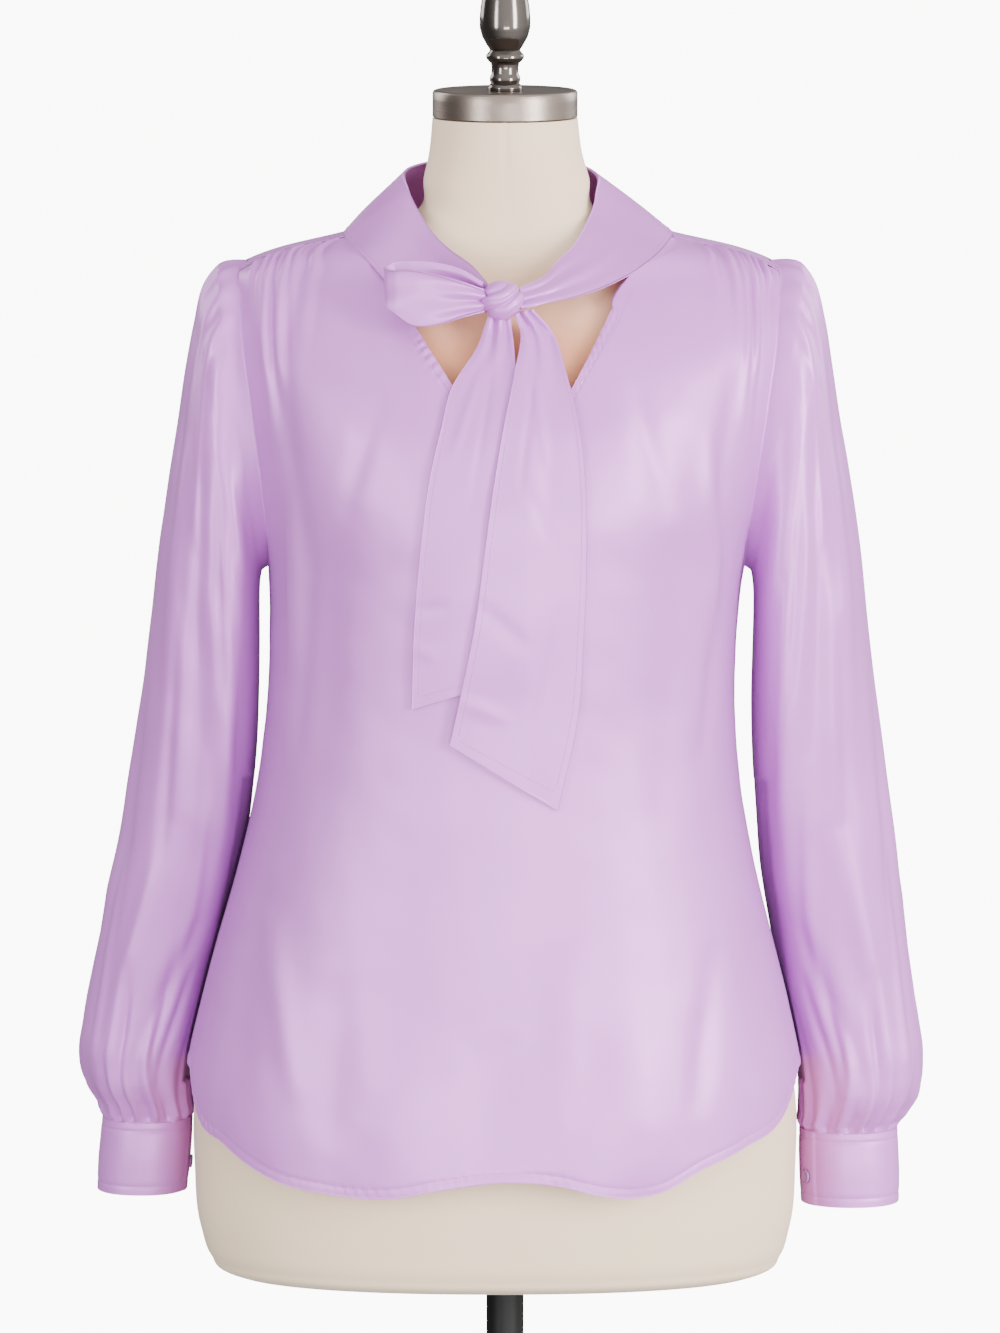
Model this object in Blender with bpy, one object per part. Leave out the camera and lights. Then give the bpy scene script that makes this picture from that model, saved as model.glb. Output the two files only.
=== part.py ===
"""A tie neck blouse worn on a limbless dress form, with the form's neck cap, finial, pole and base.

Metres, +Z up. The origin is on the floor, under the pole's axis, and the blouse's front faces -Y.
The viewer's left is -X, and the pieces called left are on that side.
"""

import math

import bpy
import numpy as np

# Cloth
CLOTH_WALL = 0.0012
BAND_WALL = 0.0018
SEAM_GAP = 0.0003
EDGE_INSET = 0.0002
SECTION_POWER = 2.3

# Heights above the floor
WAIST_Z = 1.036
BACK_YOKE_Z = 1.302
CORE_TOP_Z = 1.24
FORM_BOTTOM_Z = 0.620
CAP_BOTTOM_Z = 1.4560

# Stand
POLE_RADIUS = 0.0135
BASE_RADIUS = 0.190
BASE_HEIGHT = 0.014
NECK_RADIUS = 0.052

# The yoke's front seam lies this far in front of the shoulder line
YOKE_FRONT_Y = -0.026

# The armhole, seen from the side, is an ellipse
ARMHOLE_Y = -0.004
ARMHOLE_Z = 1.244
ARMHOLE_HALF_DEPTH = 0.066
ARMHOLE_HALF_HEIGHT = 0.110

# The knot of the tie is a wrapped ball
KNOT_CENTRE = np.array([-0.0020, -0.1215, 1.3355])
KNOT_RADII = np.array([0.0140, 0.0125, 0.0125])
KNOT_CLEARANCE = 0.0005

# Horizontal sections through the blouse's body: z, centre x, half width, depth in front, depth behind
BODY_SECTIONS = (
    (0.660, -0.0080, 0.2240, 0.1690, 0.1700),
    (0.770, -0.0080, 0.2215, 0.1650, 0.1660),
    (0.820, -0.0075, 0.2110, 0.1610, 0.1560),
    (0.870, -0.0070, 0.1980, 0.1580, 0.1460),
    (0.920, -0.0060, 0.1850, 0.1565, 0.1380),
    (0.985, -0.0045, 0.1725, 0.1560, 0.1310),
    (1.036, -0.0030, 0.1680, 0.1575, 0.1280),
    (1.080, -0.0015, 0.1675, 0.1610, 0.1265),
    (1.135, 0.0010, 0.1710, 0.1650, 0.1260),
    (1.200, 0.0025, 0.1855, 0.1660, 0.1250),
    (1.260, 0.0030, 0.1990, 0.1520, 0.1220),
    (1.300, 0.0030, 0.2060, 0.1300, 0.1160),
    (1.330, 0.0030, 0.2050, 0.1030, 0.1050),
    (1.349, 0.0028, 0.1960, 0.0850, 0.0920),
    (1.362, 0.0025, 0.1650, 0.0800, 0.0840),
    (1.373, 0.0022, 0.1180, 0.0750, 0.0780),
    (1.386, 0.0020, 0.0860, 0.0620, 0.0660),
    (1.400, 0.0020, 0.0500, 0.0400, 0.0400),
    (1.430, 0.0020, 0.0150, 0.0150, 0.0150),
)

# Horizontal sections through the dress form, with the same columns
FORM_SECTIONS = (
    (0.6200, -0.0065, 0.1900, 0.1060, 0.1200),
    (0.6230, -0.0065, 0.1985, 0.1140, 0.1280),
    (0.6320, -0.0067, 0.2060, 0.1220, 0.1370),
    (0.6520, -0.0070, 0.2130, 0.1290, 0.1460),
    (0.7000, -0.0072, 0.2175, 0.1350, 0.1540),
    (0.7450, -0.0072, 0.2175, 0.1350, 0.1550),
    (0.7800, -0.0072, 0.2120, 0.1320, 0.1510),
    (0.8200, -0.0070, 0.2020, 0.1280, 0.1420),
    (0.8700, -0.0065, 0.1870, 0.1220, 0.1280),
    (0.9200, -0.0060, 0.1740, 0.1170, 0.1160),
    (0.9850, -0.0045, 0.1610, 0.1130, 0.1050),
    (1.0360, -0.0030, 0.1560, 0.1150, 0.1020),
    (1.0800, -0.0015, 0.1570, 0.1240, 0.1040),
    (1.1350, 0.0010, 0.1610, 0.1440, 0.1090),
    (1.2000, 0.0020, 0.1700, 0.1560, 0.1120),
    (1.2600, 0.0025, 0.1800, 0.1410, 0.1100),
    (1.3000, 0.0028, 0.1880, 0.1170, 0.1040),
    (1.3250, 0.0030, 0.1890, 0.0940, 0.0960),
    (1.3420, 0.0028, 0.1830, 0.0740, 0.0850),
    (1.3520, 0.0027, 0.1740, 0.0640, 0.0780),
    (1.3607, 0.0025, 0.1630, 0.0560, 0.0720),
    (1.3717, 0.0022, 0.1160, 0.0470, 0.0650),
    (1.3785, 0.0018, 0.0820, 0.0450, 0.0620),
    (1.3900, 0.0015, 0.0640, 0.0445, 0.0590),
    (1.4130, 0.0010, 0.0592, 0.0465, 0.0565),
    (1.4300, 0.0004, 0.0550, 0.0495, 0.0545),
    (CAP_BOTTOM_Z - SEAM_GAP, 0.0000, NECK_RADIUS, NECK_RADIUS, NECK_RADIUS),
)

# The front's shirttail hem, seen from the front: x, z
FRONT_HEM = (
    (-0.2300, 0.7730),
    (-0.2230, 0.7490),
    (-0.2010, 0.7280),
    (-0.1675, 0.7080),
    (-0.1316, 0.7010),
    (-0.0817, 0.6990),
    (-0.0462, 0.7055),
    (-0.0036, 0.7110),
    (0.0390, 0.7085),
    (0.0674, 0.7010),
    (0.0958, 0.6985),
    (0.1101, 0.7010),
    (0.1390, 0.7150),
    (0.1718, 0.7280),
    (0.2022, 0.7485),
    (0.2141, 0.7730),
)

# The back's hem, a little lower: x, z
BACK_HEM = (
    (-0.2300, 0.7730),
    (-0.2100, 0.7400),
    (-0.1650, 0.7050),
    (-0.1000, 0.6880),
    (0.0000, 0.6840),
    (0.0900, 0.6880),
    (0.1500, 0.7050),
    (0.1950, 0.7400),
    (0.2141, 0.7730),
)

# Seams and edges round the front's top, seen from the front: x, z
NECK_LEFT = ((-0.0960, 1.3570), (-0.0800, 1.3390), (-0.0667, 1.3200))
SLIT_FOOT = (0.0070, 1.2150)
SLIT_LEFT = ((-0.0667, 1.3200), (-0.0368, 1.2765), (-0.0060, 1.2310), SLIT_FOOT)
SLIT_RIGHT = (SLIT_FOOT, (0.0210, 1.2340), (0.0479, 1.2765), (0.0873, 1.3490))
NECK_RIGHT = ((0.0873, 1.3490), (0.1010, 1.3575))
COLLAR_SEAM_LEFT_X = -0.1146
COLLAR_SEAM_RIGHT_X = 0.1193

# How a panel's columns share its top edge: stretch, its end, plain columns, columns near the edge, gathers
POINTS_A_GATHER = 3
YOKE_GATHERS = 7
FRONT_STRETCHES = (
    ("yoke_left", 0.150, 4, YOKE_GATHERS * POINTS_A_GATHER, YOKE_GATHERS),
    ("neck_left", 0.260, 2, 5, 0),
    ("slit_left", 0.510, 4, 5, 0),
    ("slit_right", 0.790, 4, 5, 0),
    ("neck_right", 0.840, 1, 5, 0),
    ("yoke_right", 1.000, 4, YOKE_GATHERS * POINTS_A_GATHER, YOKE_GATHERS),
)
BACK_STRETCHES = (("yoke", 1.000, 16, 16, 0),)
SECTION_STEPS = 180
CHART_WIDTH = 0.50
EVENING_ROUNDS = 900

# Degrees round the armhole at which a row of the front or the back ends, above two rows on the side seam
FRONT_ROW_DEGREES = (-90, -78, -64, -48, -28, -6, 15, 33, 47, 57, 65)
BACK_ROW_DEGREES = (-90, -102, -116, -133, -153, -176, -196)
SIDE_SEAM_ROWS = 2
YOKE_GATHER_HEIGHT = 0.0014
YOKE_GATHER_REACH = 0.30

# Soft folds of the front, seen from the front: x and z at the top, x and z at the bottom, half width, height
FRONT_FOLDS = (
    (-0.1480, 1.2300, -0.1500, 0.9900, 0.0140, 0.0026),
    (-0.1200, 1.2000, -0.1300, 0.9600, 0.0150, -0.0020),
    (0.1480, 1.2200, 0.1380, 1.0200, 0.0140, 0.0026),
    (0.1200, 1.1700, 0.1130, 0.9400, 0.0150, -0.0020),
    (-0.1750, 0.9200, -0.1950, 0.7600, 0.0130, -0.0022),
    (0.1720, 0.9000, 0.1880, 0.7700, 0.0130, -0.0022),
    (-0.0820, 0.8300, -0.0850, 0.7000, 0.0300, 0.0040),
    (-0.0100, 0.8200, -0.0050, 0.7050, 0.0260, -0.0035),
    (0.0900, 0.8400, 0.0960, 0.7000, 0.0280, 0.0040),
)

# Soft folds of the back, with the same columns
BACK_FOLDS = (
    (-0.0900, 1.2700, -0.1050, 0.9500, 0.0160, 0.0025),
    (-0.0350, 1.2800, -0.0400, 0.9000, 0.0180, -0.0022),
    (0.0300, 1.2750, 0.0350, 0.9200, 0.0170, 0.0024),
    (0.0850, 1.2700, 0.0950, 0.9400, 0.0160, -0.0024),
    (-0.1300, 0.9800, -0.1500, 0.7400, 0.0200, 0.0032),
    (0.1250, 0.9600, 0.1450, 0.7300, 0.0200, 0.0030),
    (-0.0300, 0.9000, -0.0350, 0.7000, 0.0260, 0.0034),
    (0.0500, 0.8800, 0.0550, 0.7000, 0.0240, -0.0030),
)

# Neck edge of the yoke, from the left front seam round the back to the right one: x, y
YOKE_NECK = (
    (-0.1146, -0.0260),
    (-0.1140, 0.0080),
    (-0.0990, 0.0440),
    (-0.0600, 0.0690),
    (0.0020, 0.0772),
    (0.0620, 0.0690),
    (0.1020, 0.0440),
    (0.1185, 0.0080),
    (0.1193, -0.0260),
)

# The collar, from the knot's left side round the back to its right side
# The columns are the lower edge's x, y and z, then the upper edge's x, y and z
COLLAR_STATIONS = (
    (-0.0130, -0.1150, 1.3270, -0.0120, -0.1100, 1.3460),
    (-0.0380, -0.1125, 1.3215, -0.0230, -0.0930, 1.3570),
    (-0.0668, -0.1115, 1.3205, -0.0390, -0.0720, 1.3670),
    (-0.0805, -0.1000, 1.3400, -0.0500, -0.0550, 1.3760),
    (-0.0965, -0.0720, 1.3580, -0.0610, -0.0320, 1.3900),
    (-0.1140, -0.0260, 1.3722, -0.0692, -0.0080, 1.4060),
    (-0.1135, 0.0090, 1.3738, -0.0717, 0.0120, 1.4160),
    (-0.0985, 0.0435, 1.3740, -0.0600, 0.0430, 1.4195),
    (-0.0600, 0.0685, 1.3740, -0.0350, 0.0620, 1.4210),
    (0.0020, 0.0768, 1.3740, 0.0010, 0.0690, 1.4215),
    (0.0620, 0.0685, 1.3740, 0.0360, 0.0620, 1.4200),
    (0.1015, 0.0435, 1.3740, 0.0580, 0.0430, 1.4170),
    (0.1180, 0.0090, 1.3736, 0.0662, 0.0110, 1.4125),
    (0.1188, -0.0260, 1.3715, 0.0650, -0.0090, 1.4035),
    (0.1012, -0.0700, 1.3580, 0.0595, -0.0340, 1.3860),
    (0.0876, -0.0820, 1.3500, 0.0520, -0.0560, 1.3735),
    (0.0520, -0.1060, 1.3370, 0.0370, -0.0790, 1.3590),
    (0.0270, -0.1150, 1.3325, 0.0250, -0.0960, 1.3480),
    (0.0105, -0.1185, 1.3290, 0.0100, -0.1120, 1.3430),
)

# The first and last station sewn to the neck, and how the collar clears that seam
COLLAR_SEWN = (2, 15)
COLLAR_LIFT = 0.0008
COLLAR_STAND_OUT = 0.0006
COLLAR_BULGE = 0.0015

# The bow loop, from the knot along the front layer and back along the rear one: x, y, lower z, upper z
LOOP_STATIONS = (
    (-0.0145, -0.1265, 1.3285, 1.3430),
    (-0.0290, -0.1310, 1.3250, 1.3485),
    (-0.0470, -0.1330, 1.3195, 1.3540),
    (-0.0660, -0.1325, 1.3185, 1.3580),
    (-0.0780, -0.1290, 1.3225, 1.3600),
    (-0.0840, -0.1235, 1.3265, 1.3612),
    (-0.0800, -0.1190, 1.3290, 1.3622),
    (-0.0660, -0.1180, 1.3290, 1.3630),
    (-0.0450, -0.1185, 1.3280, 1.3612),
    (-0.0290, -0.1190, 1.3290, 1.3560),
    (-0.0155, -0.1200, 1.3310, 1.3475),
)

# The tails, seen from the front: left x, left z, right x, right z, from the knot down
LONG_TAIL = (
    (0.0060, 1.3270, 0.0190, 1.3290),
    (0.0112, 1.3141, 0.0324, 1.3141),
    (0.0070, 1.2873, 0.0430, 1.2859),
    (-0.0008, 1.2503, 0.0527, 1.2468),
    (-0.0071, 1.2130, 0.0569, 1.2059),
    (-0.0141, 1.1640, 0.0576, 1.1570),
    (-0.0212, 1.1103, 0.0556, 1.0997),
    (-0.0304, 1.0636, 0.0521, 1.0458),
    (-0.0389, 1.0238, 0.0374, 0.9761),
)
SHORT_TAIL = (
    (-0.0115, 1.3240, 0.0030, 1.3225),
    (-0.0191, 1.3036, 0.0060, 1.3030),
    (-0.0367, 1.2772, 0.0080, 1.2800),
    (-0.0451, 1.2468, 0.0095, 1.2500),
    (-0.0528, 1.2128, 0.0100, 1.2180),
    (-0.0578, 1.1776, 0.0105, 1.1850),
    (-0.0613, 1.1422, 0.0108, 1.1530),
    (-0.0642, 1.0994, 0.0112, 1.1120),
    (-0.0657, 1.0480, 0.0115, 1.0735),
)
TAIL_NEAREST_Y = -0.1200
SHORT_TAIL_OFFSET = 0.0026
LONG_TAIL_OFFSET = 0.0052
LONG_TAIL_SETTLE = (0.014, 0.034)

# Sections of the sleeves, from just outside the armhole to the gathers above the cuff
# The columns are outer x, outer z, inner x, inner z, centre y and half depth
LEFT_SLEEVE = (
    (-0.2065, 1.3475, -0.1752, 1.1300, -0.0035, 0.0680),
    (-0.2155, 1.3340, -0.1762, 1.1240, -0.0025, 0.0710),
    (-0.2225, 1.3080, -0.1768, 1.1150, -0.0010, 0.0740),
    (-0.2290, 1.2750, -0.1770, 1.1030, 0.0010, 0.0755),
    (-0.2345, 1.2400, -0.1770, 1.0870, 0.0040, 0.0760),
    (-0.2420, 1.1930, -0.1772, 1.0650, 0.0080, 0.0755),
    (-0.2490, 1.1450, -0.1778, 1.0380, 0.0130, 0.0745),
    (-0.2548, 1.0950, -0.1790, 1.0080, 0.0190, 0.0730),
    (-0.2620, 1.0400, -0.1815, 0.9780, 0.0260, 0.0715),
    (-0.2700, 0.9900, -0.1850, 0.9480, 0.0330, 0.0700),
    (-0.2784, 0.9384, -0.1910, 0.9150, 0.0400, 0.0690),
    (-0.2895, 0.8873, -0.2000, 0.8780, 0.0460, 0.0680),
    (-0.2990, 0.8361, -0.2125, 0.8330, 0.0500, 0.0670),
    (-0.3060, 0.7980, -0.2215, 0.7960, 0.0500, 0.0650),
    (-0.3085, 0.7740, -0.2270, 0.7730, 0.0480, 0.0620),
    (-0.3035, 0.7520, -0.2295, 0.7530, 0.0450, 0.0550),
    (-0.2940, 0.7380, -0.2300, 0.7400, 0.0420, 0.0450),
)
RIGHT_SLEEVE = (
    (0.2140, 1.3480, 0.1772, 1.1300, -0.0035, 0.0680),
    (0.2215, 1.3360, 0.1782, 1.1240, -0.0025, 0.0710),
    (0.2285, 1.3120, 0.1790, 1.1150, -0.0010, 0.0740),
    (0.2345, 1.2780, 0.1792, 1.1030, 0.0010, 0.0755),
    (0.2400, 1.2420, 0.1790, 1.0870, 0.0040, 0.0760),
    (0.2485, 1.1930, 0.1785, 1.0650, 0.0080, 0.0755),
    (0.2555, 1.1450, 0.1780, 1.0380, 0.0130, 0.0745),
    (0.2608, 1.0950, 0.1785, 1.0080, 0.0190, 0.0730),
    (0.2675, 1.0400, 0.1800, 0.9780, 0.0260, 0.0715),
    (0.2745, 0.9900, 0.1820, 0.9480, 0.0330, 0.0700),
    (0.2815, 0.9384, 0.1850, 0.9150, 0.0400, 0.0690),
    (0.2880, 0.8873, 0.1905, 0.8780, 0.0460, 0.0680),
    (0.2945, 0.8361, 0.1985, 0.8330, 0.0500, 0.0670),
    (0.3000, 0.7980, 0.2060, 0.7960, 0.0500, 0.0650),
    (0.3030, 0.7700, 0.2120, 0.7680, 0.0480, 0.0620),
    (0.2995, 0.7440, 0.2150, 0.7450, 0.0450, 0.0550),
    (0.2900, 0.7290, 0.2160, 0.7300, 0.0420, 0.0450),
)

# The cuffs
# The columns are centre x and z of the top edge, the same of the lower edge, half width, half depth, centre y
CUFFS = {
    "left": (-0.2603, 0.7270, -0.2645, 0.6735, 0.0315, 0.0400, 0.0420),
    "right": (0.2500, 0.7190, 0.2515, 0.6645, 0.0345, 0.0400, 0.0420),
}
CUFF_SHARE_OF_BUTTON = 0.62
CUFF_BUTTON_ANGLE = {"left": 172.0, "right": 148.0}
BUTTON_RADIUS = 0.0050
BUTTON_THICKNESS = 0.0018

# How far the middle of a sleeve's cloth stays from the middle of the body's, down to the hem
SLEEVE_INSET = 0.0018
SLEEVE_CLEARANCE = 0.0032
SLEEVE_FREE_BELOW_Z = 0.755

# Gathers and folds of the sleeves
HEAD_GATHERS = 9
HEAD_SPREAD_DEGREES = 75.0
HEAD_GATHER_HEIGHT = 0.0022
CUFF_GATHERS = 17
CUFF_GATHER_HEIGHT = 0.0018
PLAIN_RING_POINTS = 20

# A sleeve's rings: the points it has, its share of the sleeve's length
SLEEVE_RINGS = (
    ("head", 0.012),
    ("head", 0.040),
    ("head", 0.080),
    ("head", 0.125),
    ("plain", 0.18),
    ("plain", 0.25),
    ("plain", 0.32),
    ("plain", 0.39),
    ("plain", 0.46),
    ("plain", 0.53),
    ("plain", 0.60),
    ("plain", 0.67),
    ("plain", 0.74),
    ("plain", 0.81),
    ("plain", 0.87),
    ("cuff", 0.915),
    ("cuff", 0.950),
    ("cuff", 0.982),
)
SLEEVE_TABLE_SHARES = (0.012, 0.984)
SLEEVE_FOOT_RINGS = ((0.992, 0.0050, 0.0010, 0.0015), (1.000, 0.0, 0.0, 0.0))

# Folds of the sleeves: start degree and share of length, end degree and share of length, half width, height
# 0 degrees is the outer side, 90 the front and 180 the side towards the body
SLEEVE_FOLDS = (
    (35.0, 0.06, 62.0, 0.52, 0.0100, 0.0030),
    (70.0, 0.08, 95.0, 0.60, 0.0110, -0.0032),
    (105.0, 0.20, 128.0, 0.78, 0.0120, 0.0034),
    (18.0, 0.45, 42.0, 0.90, 0.0110, -0.0026),
    (80.0, 0.62, 64.0, 0.93, 0.0100, 0.0030),
    (118.0, 0.74, 96.0, 0.95, 0.0090, -0.0030),
    (150.0, 0.30, 160.0, 0.85, 0.0120, -0.0024),
    (220.0, 0.15, 236.0, 0.70, 0.0130, 0.0030),
    (262.0, 0.20, 282.0, 0.80, 0.0120, -0.0030),
    (305.0, 0.12, 318.0, 0.62, 0.0120, 0.0028),
    (248.0, 0.70, 232.0, 0.95, 0.0100, 0.0030),
    (330.0, 0.60, 312.0, 0.92, 0.0110, -0.0026),
)

# Turned profiles: radius, height above the piece's foot
CAP_PROFILE = (
    (0.0000, 0.0000),
    (0.0505, 0.0000),
    (0.0520, 0.0010),
    (0.0520, 0.0180),
    (0.0512, 0.0194),
    (0.0496, 0.0200),
    (0.0478, 0.0196),
    (0.0462, 0.0192),
    (0.0000, 0.0192),
)
FINIAL_PROFILE = (
    (0.0000, 0.0000),
    (0.0123, 0.0000),
    (0.0125, 0.0022),
    (0.0116, 0.0038),
    (0.0102, 0.0050),
    (0.0110, 0.0072),
    (0.0110, 0.0092),
    (0.0098, 0.0118),
    (0.0096, 0.0160),
    (0.0102, 0.0195),
    (0.0122, 0.0212),
    (0.0136, 0.0232),
    (0.0136, 0.0252),
    (0.0120, 0.0272),
    (0.0108, 0.0288),
    (0.0132, 0.0325),
    (0.0165, 0.0385),
    (0.0182, 0.0450),
    (0.0182, 0.0520),
    (0.0176, 0.0590),
    (0.0164, 0.0670),
    (0.0144, 0.0750),
    (0.0114, 0.0820),
    (0.0070, 0.0872),
    (0.0000, 0.0890),
)
BASE_PROFILE = (
    (0.0000, 0.0000),
    (BASE_RADIUS - 0.0020, 0.0000),
    (BASE_RADIUS, 0.0020),
    (BASE_RADIUS, 0.0060),
    (BASE_RADIUS - 0.0030, 0.0085),
    (0.1000, 0.0115),
    (0.0300, BASE_HEIGHT),
    (0.0000, BASE_HEIGHT),
)

# Colours as red, green and blue from 0 to 255, then roughness and metallic
LILAC_SATIN = ((205, 176, 211), 0.42, 0.0)
BUTTON_LILAC = ((186, 158, 190), 0.30, 0.0)
FORM_CLOTH = ((229, 216, 202), 0.85, 0.0)
BRUSHED_STEEL = ((160, 152, 144), 0.34, 1.0)
POLISHED_NICKEL = ((150, 146, 142), 0.16, 1.0)
BLACK_STEEL = ((26, 26, 28), 0.38, 0.0)


class Table:
    """Smooth lines through a table's rows. The first column is the place, the others are values."""

    def __init__(self, rows):
        rows = np.array(sorted(rows), float)
        self.at = rows[:, 0]
        self.values = rows[:, 1:]
        step = np.diff(self.at)[:, None]
        slope = np.diff(self.values, axis=0) / step
        inner = (slope[:-1] * step[1:] + slope[1:] * step[:-1]) / (step[1:] + step[:-1])
        self.tangent = np.vstack([slope[:1], inner, slope[-1:]])

    def __call__(self, place):
        place = np.clip(np.asarray(place, float), self.at[0], self.at[-1])
        i = np.clip(np.searchsorted(self.at, place) - 1, 0, len(self.at) - 2)
        step = (self.at[i + 1] - self.at[i])[..., None]
        t = (place - self.at[i])[..., None] / step
        return (
            self.values[i] * (1 + 2 * t) * (1 - t) ** 2
            + self.values[i + 1] * (3 - 2 * t) * t**2
            + self.tangent[i] * step * t * (1 - t) ** 2
            - self.tangent[i + 1] * step * (1 - t) * t**2
        )


def along(points):
    """A smooth line through points, called with a share of its length from 0 to 1."""
    points = np.array(points, float)
    length = np.concatenate([[0], np.cumsum(np.linalg.norm(np.diff(points, axis=0), axis=1))])
    return Table(np.column_stack([length / length[-1], points]).tolist())


body = Table(BODY_SECTIONS)
form = Table(FORM_SECTIONS)

# Heights up the flat chart of a panel, measured along the body's side and over its shoulder
CHART_Z = np.linspace(WAIST_Z, BODY_SECTIONS[-1][0], 200)
CHART_UP = np.concatenate([[0], np.cumsum(np.hypot(np.diff(CHART_Z), np.diff(body(CHART_Z)[:, 1])))])


def level(points):
    """Below zero inside the blouse's body, zero on it and above zero outside."""
    centre, half, front, back = np.moveaxis(body(points[..., 2]), -1, 0)
    depth = np.where(points[..., 1] < 0, front, back)
    across = np.abs((points[..., 0] - centre) / half) ** SECTION_POWER
    return across + np.abs(points[..., 1] / depth) ** SECTION_POWER - 1


def on_body(points):
    """Moves points onto the blouse's body, along rays from a core inside it."""
    core = np.stack(
        [0.55 * points[..., 0], 0 * points[..., 1], np.minimum(points[..., 2], CORE_TOP_Z)], -1
    )
    ray = points - core
    low = np.zeros(points.shape[:-1] + (1,))
    high = low + 2.5
    for _ in range(36):
        middle = (low + high) / 2
        inside = level(core + middle * ray)[..., None] < 0
        low = np.where(inside, middle, low)
        high = np.where(inside, high, middle)
    return core + middle * ray


def height_at(x, y):
    """The height of the body's top over a place seen from above."""
    x, y = np.broadcast_arrays(np.asarray(x, float), np.asarray(y, float))
    low = np.full(x.shape, 1.20)
    high = np.full(x.shape, 1.43)
    for _ in range(36):
        middle = (low + high) / 2
        inside = level(np.stack([x, y, middle], -1)) < 0
        low = np.where(inside, middle, low)
        high = np.where(inside, high, middle)
    return middle


def depth_at(x, z, side):
    """y of the body's front (side -1) or back (side 1) at a place seen from the front."""
    centre, half, front, back = np.moveaxis(body(z), -1, 0)
    rest = np.clip(1 - np.abs((x - centre) / half) ** SECTION_POWER, 0, None)
    return side * np.where(side < 0, front, back) * rest ** (1 / SECTION_POWER)


def body_normals(points):
    """Outward directions of the body's surface."""
    step = 0.0005
    gradient = np.stack(
        [level(points + step * axis) - level(points - step * axis) for axis in np.eye(3)], -1
    )
    return gradient / np.linalg.norm(gradient, axis=-1, keepdims=True)


def clear_of_body(points):
    """Moves a sleeve's points out until they are clear of the body's cloth."""
    step = 0.0005
    gradient = np.stack(
        [level(points + step * axis) - level(points - step * axis) for axis in np.eye(3)], -1
    ) / (2 * step)
    steepness = np.linalg.norm(gradient, axis=-1)
    distance = level(points) / steepness
    push = np.where(points[:, 2] > SLEEVE_FREE_BELOW_Z, np.clip(SLEEVE_CLEARANCE - distance, 0, None), 0)
    return points + gradient / steepness[:, None] * push[:, None]


def fold_heights(folds, x, z):
    """How far soft folds lift a surface at x and z, fading along each fold and across it."""
    total = np.zeros(np.broadcast(x, z).shape)
    for x0, z0, x1, z1, half_width, height in folds:
        run = np.hypot(x1 - x0, z1 - z0)
        t = ((x - x0) * (x1 - x0) + (z - z0) * (z1 - z0)) / run**2
        away = ((x - x0) * (z1 - z0) - (z - z0) * (x1 - x0)) / run
        fade = np.sin(np.pi * np.clip(t, 0, 1)) ** 0.8
        total = total + height * fade * np.exp(-((away / half_width) ** 2))
    return total


def armhole(side, degrees, inset=0.0):
    """Points of an armhole: 0 degrees is its front, 90 the shoulder, 180 the back, -90 the underarm."""
    turn = np.radians(degrees)
    y = ARMHOLE_Y - (ARMHOLE_HALF_DEPTH - inset) * np.cos(turn)
    z = ARMHOLE_Z + (ARMHOLE_HALF_HEIGHT - inset) * np.sin(turn)
    centre, half, front, back = np.moveaxis(body(z), -1, 0)
    rest = 1 - np.abs(y / np.where(y < 0, front, back)) ** SECTION_POWER
    return np.stack([centre + side * half * rest ** (1 / SECTION_POWER), y, z], -1)


def armhole_degree(y=None, z=None):
    """The degree at which the armhole's front meets a depth y, or its back a height z."""
    if y is not None:
        return math.degrees(math.acos((ARMHOLE_Y - y) / ARMHOLE_HALF_DEPTH))
    return 180 - math.degrees(math.asin((z - ARMHOLE_Z) / ARMHOLE_HALF_HEIGHT))


def plan_points(places):
    """Points of the body's top from places seen from above."""
    x, y = np.array(places, float).T
    return np.stack([x, y, height_at(x, y)], -1)


def view_points(places, side=-1):
    """Points of the body from places seen from the front."""
    x, z = np.array(places, float).T
    return np.stack([x, depth_at(x, z, side), z], -1)


def front_edges():
    """The front's side edges and the stretches of its top edge, each called with a share from 0 to 1."""
    top = armhole_degree(y=YOKE_FRONT_Y)
    seam_y = YOKE_FRONT_Y - EDGE_INSET
    left_x = np.linspace(armhole(-1, top, -EDGE_INSET)[0], COLLAR_SEAM_LEFT_X, 5)
    right_x = np.linspace(COLLAR_SEAM_RIGHT_X, armhole(1, top, -EDGE_INSET)[0], 5)
    left_seam = plan_points([(x, seam_y) for x in left_x])
    right_seam = plan_points([(x, seam_y) for x in right_x])
    neck_left = np.vstack([left_seam[-1:], view_points(NECK_LEFT)])
    neck_right = np.vstack([view_points(NECK_RIGHT), right_seam[:1]])
    return [*FRONT_ROW_DEGREES, top], {
        "yoke_left": along(left_seam),
        "neck_left": along(neck_left),
        "slit_left": along(view_points(SLIT_LEFT)),
        "slit_right": along(view_points(SLIT_RIGHT)),
        "neck_right": along(neck_right),
        "yoke_right": along(right_seam),
    }


def back_edges():
    """The degrees at which the back's rows end, and its top edge."""
    top = armhole_degree(z=BACK_YOKE_Z - EDGE_INSET) - 360
    left = armhole(-1, top, -EDGE_INSET)
    right = armhole(1, top, -EDGE_INSET)
    seam_x = np.linspace(left[0], right[0], 13)
    seam = view_points([(x, BACK_YOKE_Z - EDGE_INSET) for x in seam_x], 1)
    seam[0] = left
    seam[-1] = right
    return [*BACK_ROW_DEGREES, top], {"yoke": along(seam)}


def columns_of(stretches, dense):
    """Shares of the panel's width at which it has a column: (share, stretch, share of the stretch)."""
    columns = []
    start = 0.0
    for name, end, plain, near_edge, _ in stretches:
        count = near_edge if dense else plain
        for i in range(count):
            columns.append((start + (end - start) * i / count, name, i / count))
        start = end
    columns.append((1.0, stretches[-1][0], 1.0))
    return columns


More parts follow.
